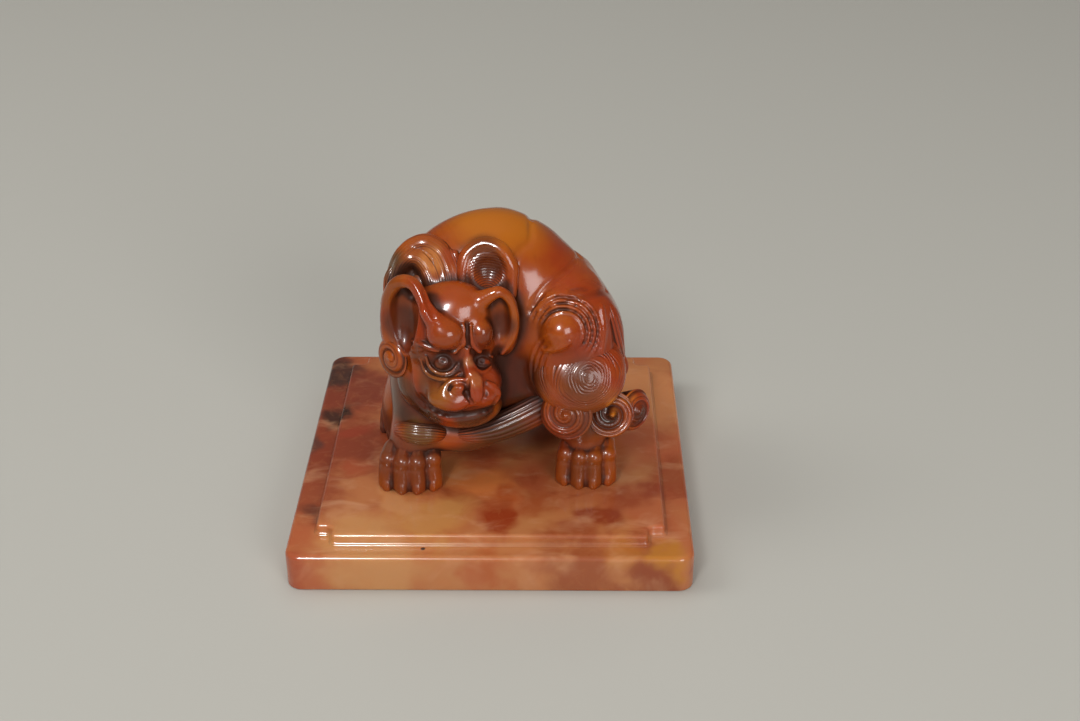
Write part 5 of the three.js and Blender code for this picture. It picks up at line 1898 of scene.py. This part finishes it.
@dataclass
class Mane:
    """Whorl over the forehead and the locks swept back round the neck."""

    eye_of_whorl: Pixel = (487, 293)
    bowl: Pixel = (488, 269)
    rim: Pixels = ((464, 290), (463, 272), (468, 255), (484, 245), (500, 250), (508, 264), (511, 280),
                   (510, 294))
    first_angle: float = 117.0
    spacing: float = 14.5
    crown_locks: tuple[tuple[Pixels, tuple[float, ...], float, float], ...] = (
        (((456, 304), (452, 286), (448, 268), (440, 252), (427, 243.5), (413, 246), (402, 255), (395, 267),
          (391, 281)), (2.4, 3, 3, 2.6, 2.3, 2, 1.8, 1.5, 1.3), -0.8, -8),
        (((436, 300), (432, 284), (427, 270), (419, 260), (410, 258), (402, 266), (397, 278)),
         (1.2, 1.8, 2.2, 2.3, 2.2, 1.9, 1.5), -0.4, -10),
        (((468, 300), (464, 284), (460, 268), (455, 254)), (1.6, 2, 1.8, 1), -0.4, 0),
    )
    outer_locks: tuple[tuple[Point, ...], ...] = (
        ((400, 262, -8.5), (392, 274, -9.5), (389, 288, -10.5), (388, 300, -11.5)),
        ((391, 284, -11), (388, 297, -11.6), (387, 310, -12.2), (388, 322, -12.6)),
        ((389, 306, -12.6), (387, 320, -13), (387, 334, -13.4), (389, 348, -13.4)),
    )
    outer_shape: LockShape = LockShape((0.9, 1.4, 1.5, 1.4, 1), (0.9, 1.3, 1.5, 1.3, 1), 13, 0.14, 0.35)
    far_shape: LockShape = LockShape((1.4, 2.9, 3.3, 3, 1.8), (0.8, 1.5, 1.7, 1.5, 0.9), 13, 0.18)
    crown_lines: tuple[Stroke, ...] = (
        Stroke(((444, 288), (443, 270), (437, 256), (427, 248), (414, 249)), (0.3, 0.4, 0.3), -0.22, 1.4),
        Stroke(((453, 284), (450, 266), (443, 250), (430, 240)), (0.3, 0.35, 0.3), -0.2, 1.4),
    )

    def whorl(self, body: Clay) -> Clay:
        """Blocks out the whorl: a rim open below, round a bowl."""
        towards = -PHOTO.ray(self.eye_of_whorl)
        seat = body.spot(self.bowl)
        rim = body.line(self.rim, 1.2, -0.9)
        clay = Clay(seat - 10, seat + 10, 0.25)
        clay.add(Ball(seat - towards * 1.2, (5.8, 7, 3.4), tangent_frame(towards)), 0.5)
        clay.add(Limb(rim, (1, 1.5, 1.7, 1.8, 1.6, 1.2), step=1.0), 0.7)
        clay.cut(Ball(seat + towards * 4.7 + vec(0, 0, -0.8), (4.3, 4.3, 4.6)), 0.8)
        return clay

    def comb_whorl(self, points: Array) -> tuple[Array, Array]:
        """Arcs round the whorl's eye, as they look from the viewer's place, faint on the rim."""
        away, share = around_ray(points, self.eye_of_whorl)
        inside, _ = around_ray(points, self.bowl)
        return away, share * (1.0 - 0.85 * smooth_step(inside, 3.4, 4.6))

    def crown_path(self, body: Clay, pixels: Pixels, lift: float, depth: float) -> Array:
        """Middle line of a large lock.

        Args:
            body: The body that it lies on.
            pixels: Pixels of the photograph that it passes through.
            lift: How far above the body's skin it runs.
            depth: The y beyond which it doesn't go back, where the body turns away.

        Returns:
            Points of the line.
        """
        seen = through(pixels, 3.5)
        hits = [body.cast([pixel], -lift) for pixel in seen]
        y = np.array([min(hit[0][1], depth) if len(hit) else depth for hit in hits])
        evened = np.convolve(np.pad(y, 3, mode="edge"), np.full(7, 1 / 7), mode="valid")
        return np.array([PHOTO.at_depth(pixel, level) for pixel, level in zip(seen, evened)])

    def crown(self, body: Clay) -> Clay:
        """Blocks out the large locks that sweep up from the forehead and curl over to the left."""
        paths = [self.crown_path(body, pixels, lift, depth) for pixels, _, lift, depth in self.crown_locks]
        every = np.vstack(paths)
        clay = Clay(every.min(0) - 4.5, every.max(0) + 4.5, 0.25)
        clay.ball(body.spot((440, 284), 0.8), (3.6, 3, 3.2), 1)
        clay.ball(PHOTO.at_depth((415, 276), -8.5), (3.6, 3.2, 3.8), 1)
        for path, (_, radii, _, _) in zip(paths, self.crown_locks):
            clay.add(Limb(path, radii, step=1.0), 0.9)
        draw(clay, self.crown_lines)
        return clay

    def comb_crown(self, points: Array) -> tuple[Array, Array]:
        """Strands that run along the nearest of the large locks."""
        seen = PHOTO.pixel(points)
        across = np.full(len(points), 99.0)
        for pixels, _, _, _ in self.crown_locks:
            line = through(pixels, 3)
            gaps = np.linalg.norm(seen[:, None, :] - line[None, :, :], axis=2)
            near = gaps.argmin(1)
            ahead = line[np.minimum(near + 1, len(line) - 1)] - line[np.maximum(near - 1, 0)]
            rel = seen - line[near]
            side = (rel[:, 0] * ahead[:, 1] - rel[:, 1] * ahead[:, 0]) / np.linalg.norm(ahead, axis=1)
            across = np.where(gaps.min(1) < np.abs(across), side, across)
        across = across / PHOTO.px_per_mm
        return across + 0.3, 0.35 + 0.65 * smooth_step(np.sin(across * 2.3 + 0.4), -0.6, 0.5)

    def build(self, mason: Mason, body: Clay, back: Back) -> None:
        """Places the whorl and the locks of both sides."""
        mason.combed("mane_whorl_stone", self.whorl(body), self.comb_whorl, 0.55, 0.06, ["mane_whorl"])
        mason.combed("mane_crown_stone", self.crown(body), self.comb_crown, 0.55, 0.07,
                     ["mane_lock_near_1", "mane_lock_near_2"])
        for i, places in enumerate(self.outer_locks):
            path = through(PHOTO.points(*places), 0.8)
            mason.lock(f"mane_lock_near_{i + 3}", path, vec(-0.6, -0.6, 0.5), self.outer_shape)
        for i in range(2 + len(self.outer_locks)):
            angle = self.first_angle + i * self.spacing
            rises, swings = (7, 5, 2.4, -0.6, -4), np.linspace(24, 64, 5)
            path = through([back.place(angle + lean, swing, 0.1) for lean, swing in zip(rises, swings)], 0.8)
            mason.lock(f"mane_lock_far_{i + 1}", path, body.slope(path), self.far_shape)


def around_ray(points: Array, pixel: tuple[float, float]) -> tuple[Array, Array]:
    """Distance of points from the line of sight through a pixel, and a share that fades at the line."""
    ray = PHOTO.ray(pixel)
    rel = points - vec(*PHOTO.place)
    away = np.linalg.norm(rel - np.outer(rel @ ray, ray), axis=1)
    return away, smooth_step(away, 0.3, 1)


@dataclass
class LegHair:
    """Whorl and curls at the hocks, bands at the wrists, locks at the elbows and the cheek curl."""

    eye_of_whorl: Pixel = (588, 377)
    far_shift: Point = (-4, 0, -4)
    elbow: tuple[Point, ...] = ((560, 396, -14.6), (540, 408, -16), (518, 419, -17), (496, 428, -17.8),
                                (474, 433, -18.2), (452, 435, -17.8))
    elbow_shape: LockShape = LockShape((3.4, 3.8, 3.5, 3.3, 2.6, 1.8), (2.6, 2.8, 2.7, 2.6, 2.2, 1.6),
                                       17, 0.3, 0.4)
    wrist: tuple[Point, ...] = ((396, 430, -17.6), (407, 432, -20.4), (420, 434, -21.2), (433, 434, -20.6),
                                (446, 434, -18))
    wrist_shape: LockShape = LockShape((2, 2.5, 2.6, 2.4, 1.8), (1.2, 1.5, 1.6, 1.5, 1.2), 19, 0.16, 0.3)
    curls: tuple[tuple[Pixel, float, Point, dict[str, float]], ...] = (
        ((567, 413), -20.6, (-0.2, -1, 0.3),
         {"Radius": 6.0, "Dome": 1.9, "Turns": 2.2, "Strands": 3.0, "Bump": 1.0}),
        ((611, 414), -19.2, (0.15, -1, 0.4),
         {"Radius": 5.3, "Dome": 0.3, "Turns": 1.8, "Strands": 2.6, "Bump": 2.2}),
        ((632, 409), -14.6, (0.9, -1, 0.2),
         {"Radius": 4.9, "Dome": 2.4, "Turns": 2.0, "Strands": 2.4, "Bump": 0.6}),
    )

    def far(self, points: Array, side: Side) -> Array:
        """Points as they are on the near side, or carried over to the far side."""
        return points if side is Side.NEAR else points * side.flip + vec(*self.far_shift)

    def far_wrist(self, points: Array) -> Array:
        """Band of the near wrist carried over to the far one, which stands further in and bends less."""
        shift, near_y, far_y, bend = -2.0, -21.2, 3.2, 0.6
        return np.column_stack([points[:, 0] + shift, far_y + (points[:, 1] - near_y) * bend, points[:, 2]])

    def whorl(self, side: Side, body: Clay) -> Clay:
        """Blocks out the mass of hair over the hock."""
        axes = tangent_frame(-PHOTO.ray(self.eye_of_whorl)) * side.flip
        middle = self.far(PHOTO.at_depth((580, 385), -15), side)
        clay = Clay(middle - 15, middle + 15, 0.3)
        return clay.add(Ball(self.far(body.spot((581, 378), 4.9), side), (10.6, 9.8, 5.8), axes), 2)

    def comb(self, side: Side, body: Clay) -> Comb:
        """Rings round the whorl's eye on one side."""
        eye = self.far(body.spot(self.eye_of_whorl, -1), side)

        def rings(points: Array) -> tuple[Array, Array]:
            """Distance from the whorl's eye, slightly uneven, and a share that changes from ring to ring."""
            rel = points - eye
            away = np.linalg.norm(rel, axis=1)
            turn = np.arctan2(rel[:, 2], rel[:, 0])
            uneven = away * (1.0 + 0.07 * np.sin(2 * turn + 0.5 * away) + 0.03 * np.sin(5 * turn - away))
            return uneven, smooth_step(away, 0.6, 1.4) * (0.55 + 0.45 * np.sin(1.9 * away + 2 * turn))
        return rings

    def build(self, mason: Mason, body: Clay) -> None:
        """Places all the hair of the legs and the cheek curl."""
        for side in Side:
            node = f"hock_whorl_{side.word}"
            mason.combed(node + "_stone", self.whorl(side, body), self.comb(side, body), 0.64, 0.2, [node])
            for i, (pixel, y, facing, values) in enumerate(self.curls):
                node = f"hock_curl_{side.word}_{i + 1}"
                sizes = {"Seat": 4.0, "Ridge": 0.3, "Relief": 0.36, "Hand": float(side.value), **values}
                centre = self.far(PHOTO.at_depth(pixel, y), side)
                mason.curl(node + "_stone", centre, vec(*facing) * side.flip, 1.2 + i, sizes, node)
        cheek = PHOTO.at_depth((394, 357), -16.6)
        mason.curl("cheek_curl_stone", cheek, vec(-0.8, -0.85, 0.1), 0.5, {
            "Radius": 4.7, "Dome": 1.3, "Seat": 2.5, "Turns": 1.7, "Ridge": 0.3, "Strands": 2.0,
            "Relief": 0.14, "Bump": 0.4, "Hand": 1.0}, "cheek_curl_left")
        elbow, wrist = through(PHOTO.points(*self.elbow), 0.8), through(PHOTO.points(*self.wrist))
        for side in Side:
            path, out = along_foreleg(elbow, side, 2.2), vec(0.1, -1, 0.25) * side.flip
            mason.lock(f"elbow_lock_{side.word}", path, out, self.elbow_shape)
            band = wrist if side is Side.NEAR else self.far_wrist(wrist)
            mason.lock(f"wrist_hair_{side.word}", band, vec(0, -1, 0.2), self.wrist_shape)


@dataclass
class Tail:
    """Tail laid down over the rump."""

    pixels: Pixels = ((607, 297), (615, 316), (620, 338), (622, 360), (619, 384))
    shape: LockShape = LockShape((1.4, 2.2, 2.5, 2.4, 1.8), (1.1, 1.4, 1.5, 1.5, 1.1), 11, 0.2, 0.4)

    def build(self, mason: Mason, body: Clay) -> None:
        """Places the tail."""
        path = body.line(self.pixels, 0.8, 0.7, even=4)
        mason.lock("tail", path, body.slope(path), self.shape)


@dataclass
class Studio:
    """Pale floor, pale surroundings and soft lamps."""

    floor_colour: Colour = (186, 184, 176)
    floor_reach: float = 1500.0
    fill: float = 0.13
    aim: Point = (0.0, 0.0, 0.035)
    lamps: tuple[tuple[str, float, float, float, tuple[float, float], float, bool, bool], ...] = (
        ("high_window", -20, 38, 1, (0.18, 0.22), 2.8, True, True),
        ("window_middle", -20, 38, 0.98, (0.15, 0.2), 8, True, False),
        ("low_window", 27, 19.5, 1, (0.42, 0.42), 4.4, True, True),
        ("ceiling", -140, 78, 1.3, (1.6, 1.6), 9.5, False, True),
        ("side_lamp", -88, 42, 1, (0.4, 0.4), 2, False, True),
    )

    def lamp(self, name: str, bearing: float, height: float, distance: float, size: tuple[float, float],
             power: float, mirrored: bool, lit: bool) -> None:
        """Area lamp that faces the seal.

        Args:
            name: Name of the lamp.
            bearing: Degrees round the seal from the viewer's side towards the right.
            height: Degrees above the floor.
            distance: Metres from the seal.
            size: Width and height in metres.
            power: Watts.
            mirrored: Whether it shows in reflections.
            lit: Whether it lights matt surfaces.
        """
        data = bpy.data.lights.new(name, "AREA")
        data.shape = "RECTANGLE"
        data.size, data.size_y = size
        data.energy = power
        lamp = bpy.data.objects.new(name, data)
        lamp.visible_glossy = mirrored
        lamp.visible_diffuse = lit
        turn, lift = math.radians(bearing), math.radians(height)
        away = Vector((math.sin(turn) * math.cos(lift), -math.cos(turn) * math.cos(lift), math.sin(lift)))
        lamp.location = Vector(self.aim) + away * distance
        lamp.rotation_euler = away.to_track_quat("Z", "Y").to_euler()
        bpy.context.scene.collection.objects.link(lamp)

    def build(self) -> None:
        """Places floor, surroundings and lamps."""
        corners = self.floor_reach * np.array([[-1, -1, 0], [1, -1, 0], [1, 1, 0], [-1, 1, 0]])
        floor = mesh_of("floor", corners, np.array([[0, 1, 2, 3]]))
        tree = ShaderTree("floor_paper")
        paper = tree.finish(**{"Base Color": linear(self.floor_colour), "Roughness": 0.9,
                               "Specular IOR Level": 0.1})
        floor.materials.append(paper)
        make_object("floor", floor)
        world = bpy.data.worlds.new("surroundings")
        bpy.context.scene.world = world
        world.use_nodes = True
        sky = Tree(world.node_tree)
        world.node_tree.nodes.clear()
        light = sky.node("ShaderNodeBackground", {}, {"Color": (1, 0.94, 0.86, 1), "Strength": self.fill})
        sky.node("ShaderNodeOutputWorld", {}, {0: sky.out(light)})
        for row in self.lamps:
            self.lamp(*row)
        view = bpy.context.scene.view_settings
        view.view_transform = "Standard"


def main() -> None:
    """Builds the seal piece by piece and the studio round it."""
    logging.basicConfig(level=logging.INFO, format="%(name)s: %(message)s")
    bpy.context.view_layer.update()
    body = Body()
    head = Head()
    clays = [body.sculpt(), head.sculpt()]
    paws = [paw.sculpt() for paw in PAWS]
    stone = Stone(Clay((-36, -32, 8), (40, 28, 75), 0.7))
    for clay in (*clays, *paws):
        stone.take(clay)
    mason = Mason(BeastStone().make(), BlockStone().make(), stone, strand_tree(), curl_tree(), lock_tree())
    SealBlock().build(mason)
    body.build(mason, clays[0])
    head.build(mason, clays[1])
    for paw, clay in zip(PAWS, paws):
        paw.build(mason, clay)
    Mane().build(mason, clays[0], body.back)
    LegHair().build(mason, clays[0])
    Tail().build(mason, clays[0])
    Studio().build()
    PHOTO.make_camera()


if __name__ == "__main__":
    main()
